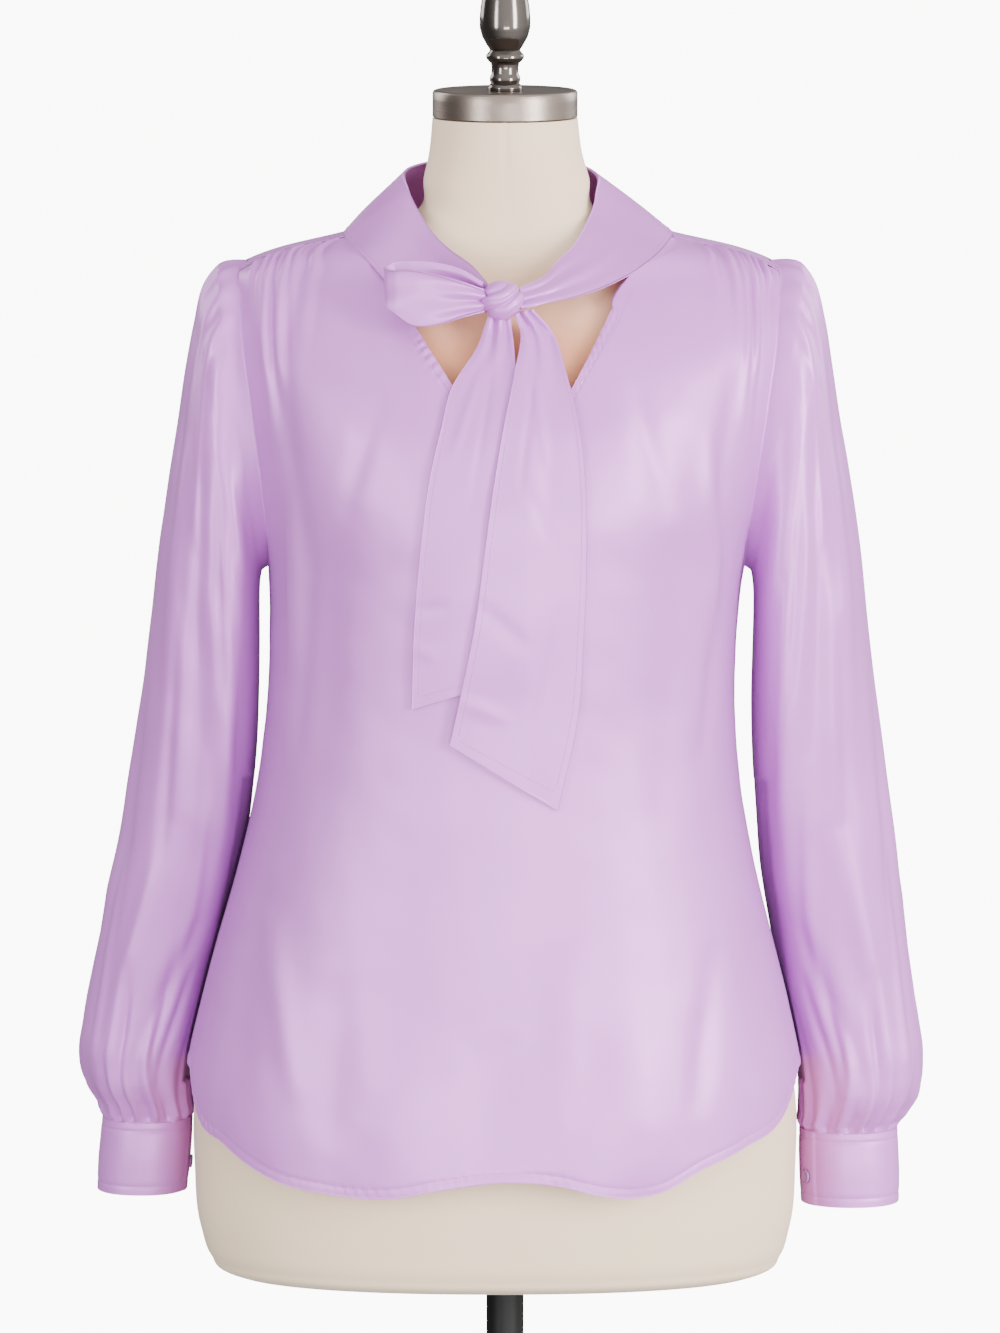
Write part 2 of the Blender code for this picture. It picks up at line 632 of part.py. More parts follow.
def section_line(z, side):
    """A level section's front or back half from the left: points x, y and shares of its length."""
    centre, half, front, back = np.moveaxis(body(z), -1, 0)
    depth = np.where(side < 0, front, back)
    turn = np.linspace(0, np.pi, SECTION_STEPS + 1)
    power = 2 / SECTION_POWER
    x = centre - half * np.sign(np.cos(turn)) * np.abs(np.cos(turn)) ** power
    y = side * depth * np.sin(turn) ** power
    length = np.concatenate([[0], np.cumsum(np.hypot(np.diff(x), np.diff(y)))])
    return x, y, length / length[-1]


def section_point(z, share, side):
    """A point of a level section, at a share of its width round the front or the back from the left."""
    x, y, shares = section_line(z, side)
    return np.array([np.interp(share, shares, x), np.interp(share, shares, y), z])


def chart_place(point, side):
    """Where a point of the body lies on the panel's flat chart: metres across and metres up."""
    x, y, shares = section_line(point[2], side)
    centre, half, front, back = body(point[2])
    across = (centre - point[0]) / half
    deep = max(side * point[1] / (front if side < 0 else back), 0)
    power = SECTION_POWER / 2
    turn = np.arctan2(deep**power, np.sign(across) * abs(across) ** power)
    share = np.interp(turn, np.linspace(0, np.pi, SECTION_STEPS + 1), shares)
    return share * CHART_WIDTH, np.interp(point[2], CHART_Z, CHART_UP)


def evened(grid, row_places, column_places):
    """Spaces out the inner points of a flat grid so that no row or column crosses another."""
    row_step, column_step = np.diff(row_places), np.diff(column_places)
    below, above = row_step[:-1, None, None], row_step[1:, None, None]
    left, right = column_step[None, :-1, None], column_step[None, 1:, None]
    for _ in range(EVENING_ROUNDS):
        up = (grid[2:, 1:-1] - grid[:-2, 1:-1]) / (below + above)
        over = (grid[1:-1, 2:] - grid[1:-1, :-2]) / (left + right)
        twist = grid[2:, 2:] - grid[2:, :-2] - grid[:-2, 2:] + grid[:-2, :-2]
        twist = twist / ((below + above) * (left + right))
        up_size = np.sum(up * up, axis=2, keepdims=True)
        over_size = np.sum(over * over, axis=2, keepdims=True)
        skew = np.sum(up * over, axis=2, keepdims=True)
        total = over_size * 2 * (grid[2:, 1:-1] / above + grid[:-2, 1:-1] / below) / (below + above)
        total = total + up_size * 2 * (grid[1:-1, 2:] / right + grid[1:-1, :-2] / left) / (left + right)
        weight = over_size * 2 / (above * below) + up_size * 2 / (left * right)
        grid[1:-1, 1:-1] = (total - 2 * skew * twist) / weight
    return grid


def panel_rows(stretches, edges, hem, side, lower_rows, dense_from):
    """Rows of a body panel from its hem to its top edge: (column shares, points, upper share)."""
    rows = []
    plain = np.array([c[0] for c in columns_of(stretches, False)])
    columns = columns_of(stretches, True)
    dense = np.array([c[0] for c in columns])
    hem_line = Table(hem)
    for i in range(lower_rows):
        row = []
        for share in plain:
            hem_z = float(hem_line(section_point(0.72, share, side)[0])[0])
            z = hem_z + (WAIST_Z - hem_z) * i / lower_rows
            row.append(section_point(z, share, side))
        points = np.array(row)
        points[[0, -1], 1] = side * EDGE_INSET
        rows.append((plain, points, 0.0))

    degrees, top_edges = edges
    ends = []
    for way in (-1, 1):
        hole = armhole(way, np.array(degrees, float), -EDGE_INSET)
        hole[0, 1] = side * EDGE_INSET
        seam_z = np.linspace(WAIST_Z, hole[0, 2], SIDE_SEAM_ROWS + 1)[:-1]
        seam = [section_point(z, (way + 1) / 2, side) for z in seam_z]
        ends.append(np.vstack([seam, hole]))
    left, right = ends
    levels = along(left).at
    top = np.array([top_edges[c[1]](c[2]) for c in columns])
    top[0], top[-1] = left[-1], right[-1]
    low, high, first, last = (
        np.array([chart_place(point, side) for point in line])
        for line in ([section_point(WAIST_Z, share, side) for share in dense], top, left, right)
    )
    across, up = dense[None, :, None], levels[:, None, None]
    grid = low[None] * (1 - up) + high[None] * up + first[:, None] * (1 - across) + last[:, None] * across
    corners = (low[0] * (1 - across) + low[-1] * across) * (1 - up)
    corners = corners + (high[0] * (1 - across) + high[-1] * across) * up
    grid = evened(grid - corners, levels, dense)

    heights = np.interp(grid[..., 1], CHART_UP, CHART_Z)
    for i, t in enumerate(levels):
        shares = dense if t >= dense_from else plain
        u = np.interp(shares, dense, grid[i, :, 0]) / CHART_WIDTH
        z = np.interp(shares, dense, heights[i])
        points = np.array([section_point(*place, side) for place in zip(z, u)])
        points[[0, -1]] = left[i], right[i]
        if i < SIDE_SEAM_ROWS:
            points[[0, -1], 1] = side * EDGE_INSET
        rows.append((shares, top if i == len(levels) - 1 else points, t))
    return rows


def yoke_gather_heights(stretches, shares, t):
    """The waves of the gathers below the yoke's front seams."""
    total = np.zeros(len(shares))
    fade = math.sin(math.pi * min(1.0, (1 - t) / YOKE_GATHER_REACH + 0.12)) if t < 1 else 0.35
    if t < 1 - YOKE_GATHER_REACH:
        return total
    start = 0.0
    for _, end, _, _, gathers in stretches:
        share = (np.array(shares) - start) / (end - start)
        inside = (share > 0) & (share < 1)
        wave = -np.cos(2 * np.pi * gathers * share) * np.sin(np.pi * np.clip(share, 0, 1)) ** 0.5
        total += np.where(inside & (gathers > 0), wave * YOKE_GATHER_HEIGHT * fade, 0)
        start = end
    return total


def zip_rows(first, second, first_start, second_start, closed):
    """Triangles between two rows of points, matched by their places along the rows."""
    a = list(first) + [1.0] if closed else list(first)
    b = list(second) + [1.0] if closed else list(second)
    i = j = 0
    faces = []
    while i < len(a) - 1 or j < len(b) - 1:
        low = first_start + i % len(first)
        high = second_start + j % len(second)
        step_first = i < len(a) - 1 and (j == len(b) - 1 or a[i] + a[i + 1] <= b[j] + b[j + 1])
        if step_first:
            i += 1
            faces.append((low, first_start + i % len(first), high))
        else:
            j += 1
            faces.append((low, second_start + j % len(second), high))
    return faces


def sheet_of(rows, closed=False):
    """One sheet of triangles from rows of (places along the row, points)."""
    faces = []
    start = 0
    for (a, points, *_), (b, _, *_) in zip(rows, rows[1:]):
        faces += zip_rows(a, b, start, start + len(points), closed)
        start += len(points)
    return np.vstack([row[1] for row in rows]), faces


def sheet_normals(points, faces):
    """Directions square to a sheet at its points."""
    corners = np.array(faces)
    a, b, c = points[corners[:, 0]], points[corners[:, 1]], points[corners[:, 2]]
    square = np.cross(b - a, c - a)
    normals = np.zeros_like(points)
    for k in range(3):
        np.add.at(normals, corners[:, k], square)
    return normals / np.linalg.norm(normals, axis=1, keepdims=True)


def free_edges(faces):
    """The edges that only one face uses, in that face's direction."""
    directed = {(f[i], f[(i + 1) % len(f)]) for f in faces for i in range(len(f))}
    return sorted(e for e in directed if (e[1], e[0]) not in directed)


def material(name, look):
    """A plain material with a piece's colour, roughness and metallic value."""
    colour, roughness, metallic = look
    made = bpy.data.materials.get(name)
    if made is None:
        made = bpy.data.materials.new(name)
        made.use_nodes = True
        shader = made.node_tree.nodes["Principled BSDF"]
        linear = [((c / 255 + 0.055) / 1.055) ** 2.4 for c in colour]
        shader.inputs["Base Color"].default_value = (*linear, 1.0)
        shader.inputs["Roughness"].default_value = roughness
        shader.inputs["Metallic"].default_value = metallic
    return made


def volume_sign(points, faces):
    """Whether a closed body's faces point out (1) or in (-1)."""
    total = 0.0
    for face in faces:
        for i in range(1, len(face) - 1):
            a, b, c = points[face[0]], points[face[i]], points[face[i + 1]]
            total += np.dot(a, np.cross(b, c))
    return 1 if total > 0 else -1


def solid(name, points, faces, look):
    """An object from a closed body's points and faces, turned so that the faces point out."""
    if volume_sign(points, faces) < 0:
        faces = [tuple(reversed(f)) for f in faces]
    mesh = bpy.data.meshes.new(name)
    mesh.from_pydata([tuple(map(float, p)) for p in points], [], [tuple(map(int, f)) for f in faces])
    mesh.validate()
    mesh.shade_smooth()
    mesh.set_sharp_from_angle(angle=math.radians(50))
    made = bpy.data.objects.new(name, mesh)
    mesh.materials.append(material(look[0], look[1]))
    bpy.context.scene.collection.objects.link(made)
    return made


def wall_of(points, faces, wall):
    """A closed wall: a sheet moved out and in by half the wall and joined round its free edges."""
    count = len(points)
    shift = sheet_normals(points, faces) * wall / 2
    both = np.vstack([points + shift, points - shift])
    inner = [tuple(i + count for i in reversed(f)) for f in faces]
    rim = []
    for a, b in free_edges(faces):
        rim.append((b, a, a + count))
        rim.append((b, a + count, b + count))
    return both, list(faces) + inner + rim


def off_knot(points):
    """Moves points that lie inside the knot, or nearer to it than its clearance, onto that clearance."""
    radii = KNOT_RADII + KNOT_CLEARANCE
    scaled = (points - KNOT_CENTRE) / radii
    size = np.linalg.norm(scaled, axis=1, keepdims=True)
    return np.where(size < 1, KNOT_CENTRE + scaled / size * radii, points)


def body_panel(name, stretches, edges, hem, side, folds, lower_rows, dense_from):
    """The front or the back: rows on the body's surface, with folds and gathers, as a wall."""
    lifted = []
    for shares, points, t in panel_rows(stretches, edges, hem, side, lower_rows, dense_from):
        lift = fold_heights(folds, points[:, 0], points[:, 2])
        lift = lift + yoke_gather_heights(stretches, shares, t)
        lift[[0, -1]] = 0
        lifted.append((shares, points + body_normals(points) * lift[:, None]))
    points, faces = sheet_of(lifted)
    return solid(name, *wall_of(points, faces, CLOTH_WALL), ("lilac_satin", LILAC_SATIN))


def make_front():
    body_panel("front", FRONT_STRETCHES, front_edges(), FRONT_HEM, -1, FRONT_FOLDS, 7, 0.86)


def make_back():
    body_panel("back", BACK_STRETCHES, back_edges(), BACK_HEM, 1, BACK_FOLDS, 6, 0.9)


def make_yoke():
    """The yoke: from the neck edge out to the armholes and the back seam."""
    degrees = np.linspace(armhole_degree(y=YOKE_FRONT_Y) + 0.35, armhole_degree(z=BACK_YOKE_Z), 9)
    left = armhole(-1, degrees, -EDGE_INSET)
    right = armhole(1, degrees, -EDGE_INSET)[::-1]
    seam_x = np.linspace(left[-1, 0], right[0, 0], 13)[1:-1]
    seam = view_points([(x, BACK_YOKE_Z + EDGE_INSET) for x in seam_x], 1)
    outer = np.vstack([left, seam, right])
    neck = along([(x, y, 0.0) for x, y in YOKE_NECK])
    inner = neck(np.linspace(0, 1, len(outer)))
    inner[:, 2] = height_at(inner[:, 0], inner[:, 1])
    rows = []
    for share in np.linspace(0, 1, 6):
        line = inner + (outer - inner) * share
        points = line if share in (0, 1) else on_body(line)
        points[[0, -1], 1] = YOKE_FRONT_Y + EDGE_INSET
        if 0 < share < 1:
            ends = points[[0, -1]]
            points[[0, -1], 2] = height_at(ends[:, 0], ends[:, 1])
        rows.append((np.linspace(0, 1, len(outer)), points))
    points, faces = sheet_of(rows)
    solid("yoke", *wall_of(points, faces, CLOTH_WALL), ("lilac_satin", LILAC_SATIN))


def neck_seam():
    """The seam that the collar stands on, from the slit's left corner round to its right one."""
    edges = front_edges()[1]
    fine = np.linspace(0, 1, 60)
    around = along([(x, y, 0.0) for x, y in YOKE_NECK])(fine)
    around[:, 2] = height_at(around[:, 0], around[:, 1])
    left = edges["neck_left"](fine)
    right = edges["neck_right"](fine[::-1])
    return np.vstack([left[::-1], around, right])


def make_collar():
    """The standing collar, whose ends run forward to the knot."""
    stations = np.array(COLLAR_STATIONS)
    lower = along(stations[:, :3])
    upper = Table(np.column_stack([lower.at, stations[:, 3:]]).tolist())
    places = np.linspace(0, 1, 41)
    low, high = lower(places), upper(places)
    seam = neck_seam()
    sewn = (places >= lower.at[COLLAR_SEWN[0]]) & (places <= lower.at[COLLAR_SEWN[1]])
    nearest = np.argmin(np.linalg.norm(low[sewn][:, None] - seam[None], axis=2), axis=1)
    rise = high[sewn] - seam[nearest]
    rise /= np.linalg.norm(rise, axis=1, keepdims=True)
    low[sewn] = seam[nearest] + rise * COLLAR_LIFT + body_normals(seam[nearest]) * COLLAR_STAND_OUT
    outward = (low + high) * np.array([0.5, 0.5, 0.0])
    outward /= np.linalg.norm(outward, axis=1, keepdims=True)
    rows = []
    for share in np.linspace(0, 1, 4):
        points = low + (high - low) * share
        rows.append((places, points + outward * COLLAR_BULGE * math.sin(math.pi * share)))
    points, faces = sheet_of(rows)
    points, faces = wall_of(points, faces, BAND_WALL)
    solid("collar", off_knot(points), faces, ("lilac_satin", LILAC_SATIN))


def make_loop():
    """The bow loop: one band that runs out from the knot, turns and comes back."""
    stations = np.array(LOOP_STATIONS)
    path = along(stations[:, :2])
    ends = Table(np.column_stack([path.at, stations[:, 2:]]).tolist())
    places = np.linspace(0, 1, 25)
    rows = []
    for share in np.linspace(0, 1, 4):
        low, high = ends(places).T
        z = low + (high - low) * share
        rows.append((places, np.column_stack([path(places), z])))
    points, faces = sheet_of(rows)
    points, faces = wall_of(points, faces, BAND_WALL)
    solid("tie_loop", off_knot(points), faces, ("lilac_satin", LILAC_SATIN))


def make_knot():
    """The knot: a ball wrapped on a slant, with shallow grooves between its folds."""
    rings, points_round = 10, 18
    points = []
    for i in range(1, rings):
        polar = math.pi * i / rings
        for j in range(points_round):
            turn = 2 * math.pi * j / points_round
            way = np.array(
                [math.sin(polar) * math.cos(turn), math.sin(polar) * math.sin(turn), math.cos(polar)]
            )
            groove = 0.5 + 0.5 * math.cos(9.0 * (way[0] * 0.55 + way[2] * 0.83) + 0.6)
            shrink = 1 - 0.085 * groove * math.sin(polar)
            points.append(KNOT_CENTRE + way * KNOT_RADII * shrink)
    top, bottom = len(points), len(points) + 1
    points.append(KNOT_CENTRE + np.array([0, 0, KNOT_RADII[2] * 0.97]))
    points.append(KNOT_CENTRE - np.array([0, 0, KNOT_RADII[2] * 0.97]))
    faces = []
    for j in range(points_round):
        k = (j + 1) % points_round
        faces.append((top, j, k))
        last = (rings - 2) * points_round
        faces.append((bottom, last + k, last + j))
        for i in range(rings - 2):
            a, b = i * points_round, (i + 1) * points_round
            faces.append((a + j, b + j, b + k))
            faces.append((a + j, b + k, a + k))
    solid("tie_knot", np.array(points), faces, ("lilac_satin", LILAC_SATIN))


def front_sheet_y(x, z):
    """y of the middle of the front's cloth, with its folds."""
    return depth_at(x, z, -1) - fold_heights(FRONT_FOLDS, x, z)


def make_tail(name, outline, offset, settle):
    """A tail of the tie: made from the front's own surface, moved out, and held off it at the knot."""
    outline = np.array(outline)
    middle = (outline[:, :2] + outline[:, 2:]) / 2
    left_and_right = Table(np.column_stack([along(middle).at, outline]).tolist())
    rows = []
    for share in np.linspace(0, 1, 15):
        x0, z0, x1, z1 = left_and_right(share)
        places = np.linspace(0, 1, 6)
        x = x0 + (x1 - x0) * places
        z = z0 + (z1 - z0) * places
        clear = np.full(len(x), offset)
        if settle:
            drop = np.clip((x - settle[0]) / (settle[1] - settle[0]), 0, 1)
            clear = offset + (SHORT_TAIL_OFFSET - offset) * drop * drop * (3 - 2 * drop)
        resting = front_sheet_y(x, z) - clear
        near = TAIL_NEAREST_Y - (0.002 if settle else 0.0)
        softness = 0.006
        gap = resting - near
        y = near + (gap - np.sqrt(gap * gap + softness * softness)) / 2
        rows.append((places, np.column_stack([x, y, z])))
    points, faces = sheet_of(rows)
    points, faces = wall_of(points, faces, BAND_WALL)
    solid(name, off_knot(points), faces, ("lilac_satin", LILAC_SATIN))


def ring_point_places(kind):
    """Shares round a sleeve ring at which it has a point."""
    plain = np.arange(PLAIN_RING_POINTS) / PLAIN_RING_POINTS
    if kind == "cuff":
        return np.arange(CUFF_GATHERS * POINTS_A_GATHER) / (CUFF_GATHERS * POINTS_A_GATHER)
    if kind == "head":
        spread = HEAD_SPREAD_DEGREES / 360
        kept = plain[(plain > spread) & (plain < 1 - spread)]
        count = HEAD_GATHERS * POINTS_A_GATHER
        top = (np.linspace(-spread, spread, count + 1)) % 1.0
        return np.sort(np.concatenate([kept, top]))
    return plain


def head_wave(share_round, t):
    """The gathers at a sleeve's head: t is the share of the sleeve's length."""
    spread = HEAD_SPREAD_DEGREES / 360
    place = (share_round + 0.5) % 1.0 - 0.5
    inside = np.abs(place) < spread
    wave = np.cos(np.pi * HEAD_GATHERS * place / spread) * np.cos(np.pi * place / spread / 2)
    rise = min(1.0, 0.25 + t / 0.03)
    fade = max(0.0, 1 - t / 0.20) ** 1.5
    return np.where(inside, wave * rise * fade * HEAD_GATHER_HEIGHT, 0)


def cuff_wave(share_round, t):
    """The gathers above a cuff."""
    if t < 0.86:
        return 0 * share_round
    fade = min(1.0, (t - 0.86) / 0.09) * min(1.0, 0.30 + (1 - t) / 0.02)
    uneven = 0.75 + 0.25 * np.cos(2 * np.pi * 3 * share_round + 0.8)
    return CUFF_GATHER_HEIGHT * fade * uneven * np.cos(2 * np.pi * CUFF_GATHERS * share_round)


def sleeve_folds(share_round, t, girth):
    """The long soft folds of a sleeve."""
    total = np.zeros(len(share_round))
    for degree0, t0, degree1, t1, half_width, height in SLEEVE_FOLDS:
        if not t0 < t < t1:
            continue
        part = (t - t0) / (t1 - t0)
        centre = (degree0 + (degree1 - degree0) * part) / 360
        away = ((share_round - centre + 0.5) % 1.0 - 0.5) * girth
        total += height * math.sin(math.pi * part) ** 0.8 * np.exp(-((away / half_width) ** 2))
    return total


def make_sleeve(name, side, table, cuff):
    """A full sleeve: the armhole ring, rings down to the blouson and two rings on the cuff."""
    top_x, top_z, _, _, half_width, half_depth, centre_y = cuff
    rings = np.array(table)
    outer_line = rings[:, :2]
    first, last = SLEEVE_TABLE_SHARES
    shares = first + (last - first) * along(outer_line).at
    shape = Table(np.column_stack([shares, rings]).tolist())
    foot = top_z + SEAM_GAP * 2
    rows = []
    hole_places = ring_point_places("head")
    hole = armhole(side, 90 - 360 * hole_places, SLEEVE_INSET)
    hole[:, 0] += side * 0.0004
    hole += np.array([side * 0.2, 0, 0.5]) * (head_wave(hole_places, 0.0) * 0.4)[:, None]
    rows.append((hole_places, hole))
    power = 2 / SECTION_POWER

    def ring(share_round, outer, inner, y, depth, t):
        turn = 2 * np.pi * share_round
        wide = np.sign(np.cos(turn)) * np.abs(np.cos(turn)) ** power
        deep = np.sign(np.sin(turn)) * np.abs(np.sin(turn)) ** power
        middle, arm = (outer + inner) / 2, (outer - inner) / 2
        flat = np.column_stack([wide, -deep])
        x = middle[0] + arm[0] * wide
        z = middle[1] + arm[1] * wide
        away = flat * np.array([depth, np.hypot(*arm)])
        away /= np.linalg.norm(away, axis=1, keepdims=True)
        girth = 2 * np.pi * math.sqrt((depth**2 + np.hypot(*arm) ** 2) / 2)
        lift = sleeve_folds(share_round, t, girth) + head_wave(share_round, t) + cuff_wave(share_round, t)
        calm = np.clip((0.16 - np.abs(share_round - 0.5)) / 0.06, 0, 1) if t < 0.5 else 0
        lift = lift * (1 - calm)
        way = arm / np.hypot(*arm)
        x = x + way[0] * away[:, 0] * lift
        z = z + way[1] * away[:, 0] * lift
        return clear_of_body(np.column_stack([x, y - depth * deep + away[:, 1] * lift, z]))

    for kind, t in SLEEVE_RINGS:
        outer_x, outer_z, inner_x, inner_z, y, depth = shape(t)
        share_round = ring_point_places(kind)
        outer, inner = np.array([outer_x, outer_z]), np.array([inner_x, inner_z])
        rows.append((share_round, ring(share_round, outer, inner, y, depth, t)))
    for t, rise, wider, deeper in SLEEVE_FOOT_RINGS:
        share_round = ring_point_places("cuff")
        reach = side * (half_width + wider)
        outer, inner = np.array([top_x + reach, foot + rise]), np.array([top_x - reach, foot + rise])
        rows.append((share_round, ring(share_round, outer, inner, centre_y, half_depth + deeper, t)))
    points, faces = sheet_of(rows, closed=True)
    solid(name, *wall_of(points, faces, CLOTH_WALL), ("lilac_satin", LILAC_SATIN))


def cuff_point(cuff, degrees, share, out=0.0):
    """A point of a cuff's middle surface, moved out: share 0 is its top edge and 1 its lower edge."""
    top_x, top_z, low_x, low_z, half_width, half_depth, centre_y = cuff
    side = 1 if top_x > 0 else -1
    turn = np.radians(degrees)
    power = 2 / SECTION_POWER
    wide = np.sign(np.cos(turn)) * np.abs(np.cos(turn)) ** power
    deep = np.sign(np.sin(turn)) * np.abs(np.sin(turn)) ** power
    x = top_x + (low_x - top_x) * share + side * (half_width + out) * wide
    z = top_z + (low_z - top_z) * share
    return np.stack([x, centre_y - (half_depth + out) * deep, z + 0 * wide], -1)


def make_cuff(name, cuff):
    places = np.arange(32) / 32
    rows = [(places, cuff_point(cuff, 360 * places, share)) for share in (0, 0.5, 1)]
    points, faces = sheet_of(rows, closed=True)
    solid(name, *wall_of(points, faces, BAND_WALL), ("lilac_satin", LILAC_SATIN))


def make_button(name, cuff, degrees):
    """A small flat button that lies on its cuff."""
    centre = cuff_point(cuff, degrees, CUFF_SHARE_OF_BUTTON)
    step = 4.0
    across = cuff_point(cuff, degrees + step, CUFF_SHARE_OF_BUTTON) - cuff_point(
        cuff, degrees - step, CUFF_SHARE_OF_BUTTON
    )
    across /= np.linalg.norm(across)
    upward = cuff_point(cuff, degrees, 0.0) - cuff_point(cuff, degrees, 1.0)
    upward /= np.linalg.norm(upward)
    outward = np.cross(across, upward)
    middle = np.array([cuff[0], cuff[6], centre[2]])
    if np.dot(outward, centre - middle) < 0:
        outward = -outward
    foot = centre + outward * (BAND_WALL / 2 + SEAM_GAP)
    profile = (
        (BUTTON_RADIUS * 0.86, 0.0),
        (BUTTON_RADIUS, BUTTON_THICKNESS * 0.3),
        (BUTTON_RADIUS, BUTTON_THICKNESS * 0.75),
        (BUTTON_RADIUS * 0.84, BUTTON_THICKNESS),
        (BUTTON_RADIUS * 0.62, BUTTON_THICKNESS * 0.72),
    )
    round_points = 16
    points = []
    for radius, rise in profile:
        for j in range(round_points):
            turn = 2 * math.pi * j / round_points
            flat = radius * (math.cos(turn) * across + math.sin(turn) * upward)
            points.append(foot + flat + outward * rise)
    faces = ring_faces(len(profile), round_points)
    solid(name, np.array(points), faces, ("button_lilac", BUTTON_LILAC))


def ring_faces(ring_count, round_points):
    """Side faces between rings of points, and a flat face on each end ring."""
    faces = [tuple(reversed(range(round_points)))]
    for i in range(ring_count - 1):
        for j in range(round_points):
            k = (j + 1) % round_points
            a, b = i * round_points, (i + 1) * round_points
            faces.append((a + j, a + k, b + k, b + j))
    last = (ring_count - 1) * round_points
    faces.append(tuple(range(last, last + round_points)))
    return faces


def turned(name, profile, foot_z, round_points, look):
    """A turned piece on the stand's axis, from its foot's centre up to its top's centre."""
    inner = [row for row in profile if row[0] > 0]
    points = []
    for radius, rise in inner:
        for j in range(round_points):
            turn = 2 * math.pi * (j + 0.5) / round_points
            points.append((radius * math.cos(turn), radius * math.sin(turn), foot_z + rise))
    faces = ring_faces(len(inner), round_points)
    if profile[-1][1] > inner[-1][1]:
        faces.pop()
        last = (len(inner) - 1) * round_points
        tip = len(points)
        points.append((0, 0, foot_z + profile[-1][1]))
        for j in range(round_points):
            faces.append((last + j, last + (j + 1) % round_points, tip))
    solid(name, np.array(points), faces, look)


def make_form():
    """The limbless form with its neck: level sections from the flat underside to the cap's seat."""
    heights = [row[0] for row in FORM_SECTIONS]
    round_points = 28
    turn = 2 * np.pi * np.arange(round_points) / round_points
    points = []
    for z in heights:
        centre, half, front, back = form(z)
        settle = np.clip((z - 1.395) / (CAP_BOTTOM_Z - 1.395), 0, 1)
        power = 2 / (SECTION_POWER + (2.0 - SECTION_POWER) * settle)
        wide = np.sign(np.cos(turn)) * np.abs(np.cos(turn)) ** power
        deep = np.sign(np.sin(turn)) * np.abs(np.sin(turn)) ** power
        y = np.where(deep < 0, front, back) * deep
        points.append(np.column_stack([centre + half * wide, y, np.full(round_points, z)]))
    faces = ring_faces(len(heights), round_points)
    solid("form_torso", np.vstack(points), faces, ("form_cloth", FORM_CLOTH))


def make_stand():
    cap_look = ("brushed_steel", BRUSHED_STEEL)
    turned("neck_cap", CAP_PROFILE, CAP_BOTTOM_Z, 36, cap_look)
    finial_foot = CAP_BOTTOM_Z + CAP_PROFILE[-1][1] + SEAM_GAP
    turned("finial", FINIAL_PROFILE, finial_foot, 16, ("polished_nickel", POLISHED_NICKEL))
    turned("base", BASE_PROFILE, 0.0, 40, ("black_steel", BLACK_STEEL))
    pole_foot = BASE_HEIGHT + SEAM_GAP
    pole_top = FORM_BOTTOM_Z - SEAM_GAP
    pole_profile = ((POLE_RADIUS, 0.0), (POLE_RADIUS, pole_top - pole_foot))
    turned("pole", pole_profile, pole_foot, 24, ("black_steel", BLACK_STEEL))


def main():
    for thing in list(bpy.data.objects):
        bpy.data.objects.remove(thing, do_unlink=True)
    make_front()
    make_back()
    make_yoke()
    make_collar()
    make_loop()
    make_knot()
    make_tail("tie_tail_short", SHORT_TAIL, SHORT_TAIL_OFFSET, None)
    make_tail("tie_tail_long", LONG_TAIL, LONG_TAIL_OFFSET, LONG_TAIL_SETTLE)
    make_sleeve("sleeve_left", -1, LEFT_SLEEVE, CUFFS["left"])
    make_sleeve("sleeve_right", 1, RIGHT_SLEEVE, CUFFS["right"])
    for side in ("left", "right"):
        make_cuff("cuff_" + side, CUFFS[side])
        make_button("cuff_button_" + side, CUFFS[side], CUFF_BUTTON_ANGLE[side])
    make_form()
    make_stand()


main()
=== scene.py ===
import math

import bpy
import numpy as np
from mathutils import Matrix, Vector


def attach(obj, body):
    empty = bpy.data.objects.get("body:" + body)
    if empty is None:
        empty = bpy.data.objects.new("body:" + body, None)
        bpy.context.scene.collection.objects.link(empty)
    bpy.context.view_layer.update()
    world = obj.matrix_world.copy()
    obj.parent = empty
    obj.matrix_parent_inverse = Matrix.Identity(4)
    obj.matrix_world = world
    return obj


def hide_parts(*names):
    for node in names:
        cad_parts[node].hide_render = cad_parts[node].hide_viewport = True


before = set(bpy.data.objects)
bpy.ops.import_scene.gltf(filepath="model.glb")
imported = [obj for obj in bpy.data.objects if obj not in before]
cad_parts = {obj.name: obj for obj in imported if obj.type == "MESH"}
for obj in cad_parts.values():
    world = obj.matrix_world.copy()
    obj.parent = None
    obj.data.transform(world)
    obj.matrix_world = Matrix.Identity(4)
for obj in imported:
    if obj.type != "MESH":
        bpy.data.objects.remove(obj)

# The shapes below repeat the sizes of the model's source, in metres

# Cloth
BAND_WALL = 0.0018
SEAM_GAP = 0.0003
EDGE_INSET = 0.0002
SECTION_POWER = 2.3

# Heights above the floor
WAIST_Z = 1.036
BACK_YOKE_Z = 1.302
CORE_TOP_Z = 1.24
FORM_BOTTOM_Z = 0.620
CAP_BOTTOM_Z = 1.4560

# Stand
POLE_RADIUS = 0.0135
BASE_RADIUS = 0.190
BASE_HEIGHT = 0.014
NECK_RADIUS = 0.052

# The yoke's front seam lies this far in front of the shoulder line
YOKE_FRONT_Y = -0.026

# The armhole, seen from the side, is an ellipse
ARMHOLE_Y = -0.004
ARMHOLE_Z = 1.244
ARMHOLE_HALF_DEPTH = 0.066
ARMHOLE_HALF_HEIGHT = 0.110

# The knot of the tie is a wrapped ball
KNOT_CENTRE = np.array([-0.0020, -0.1215, 1.3355])
KNOT_RADII = np.array([0.0140, 0.0125, 0.0125])
KNOT_CLEARANCE = 0.0005

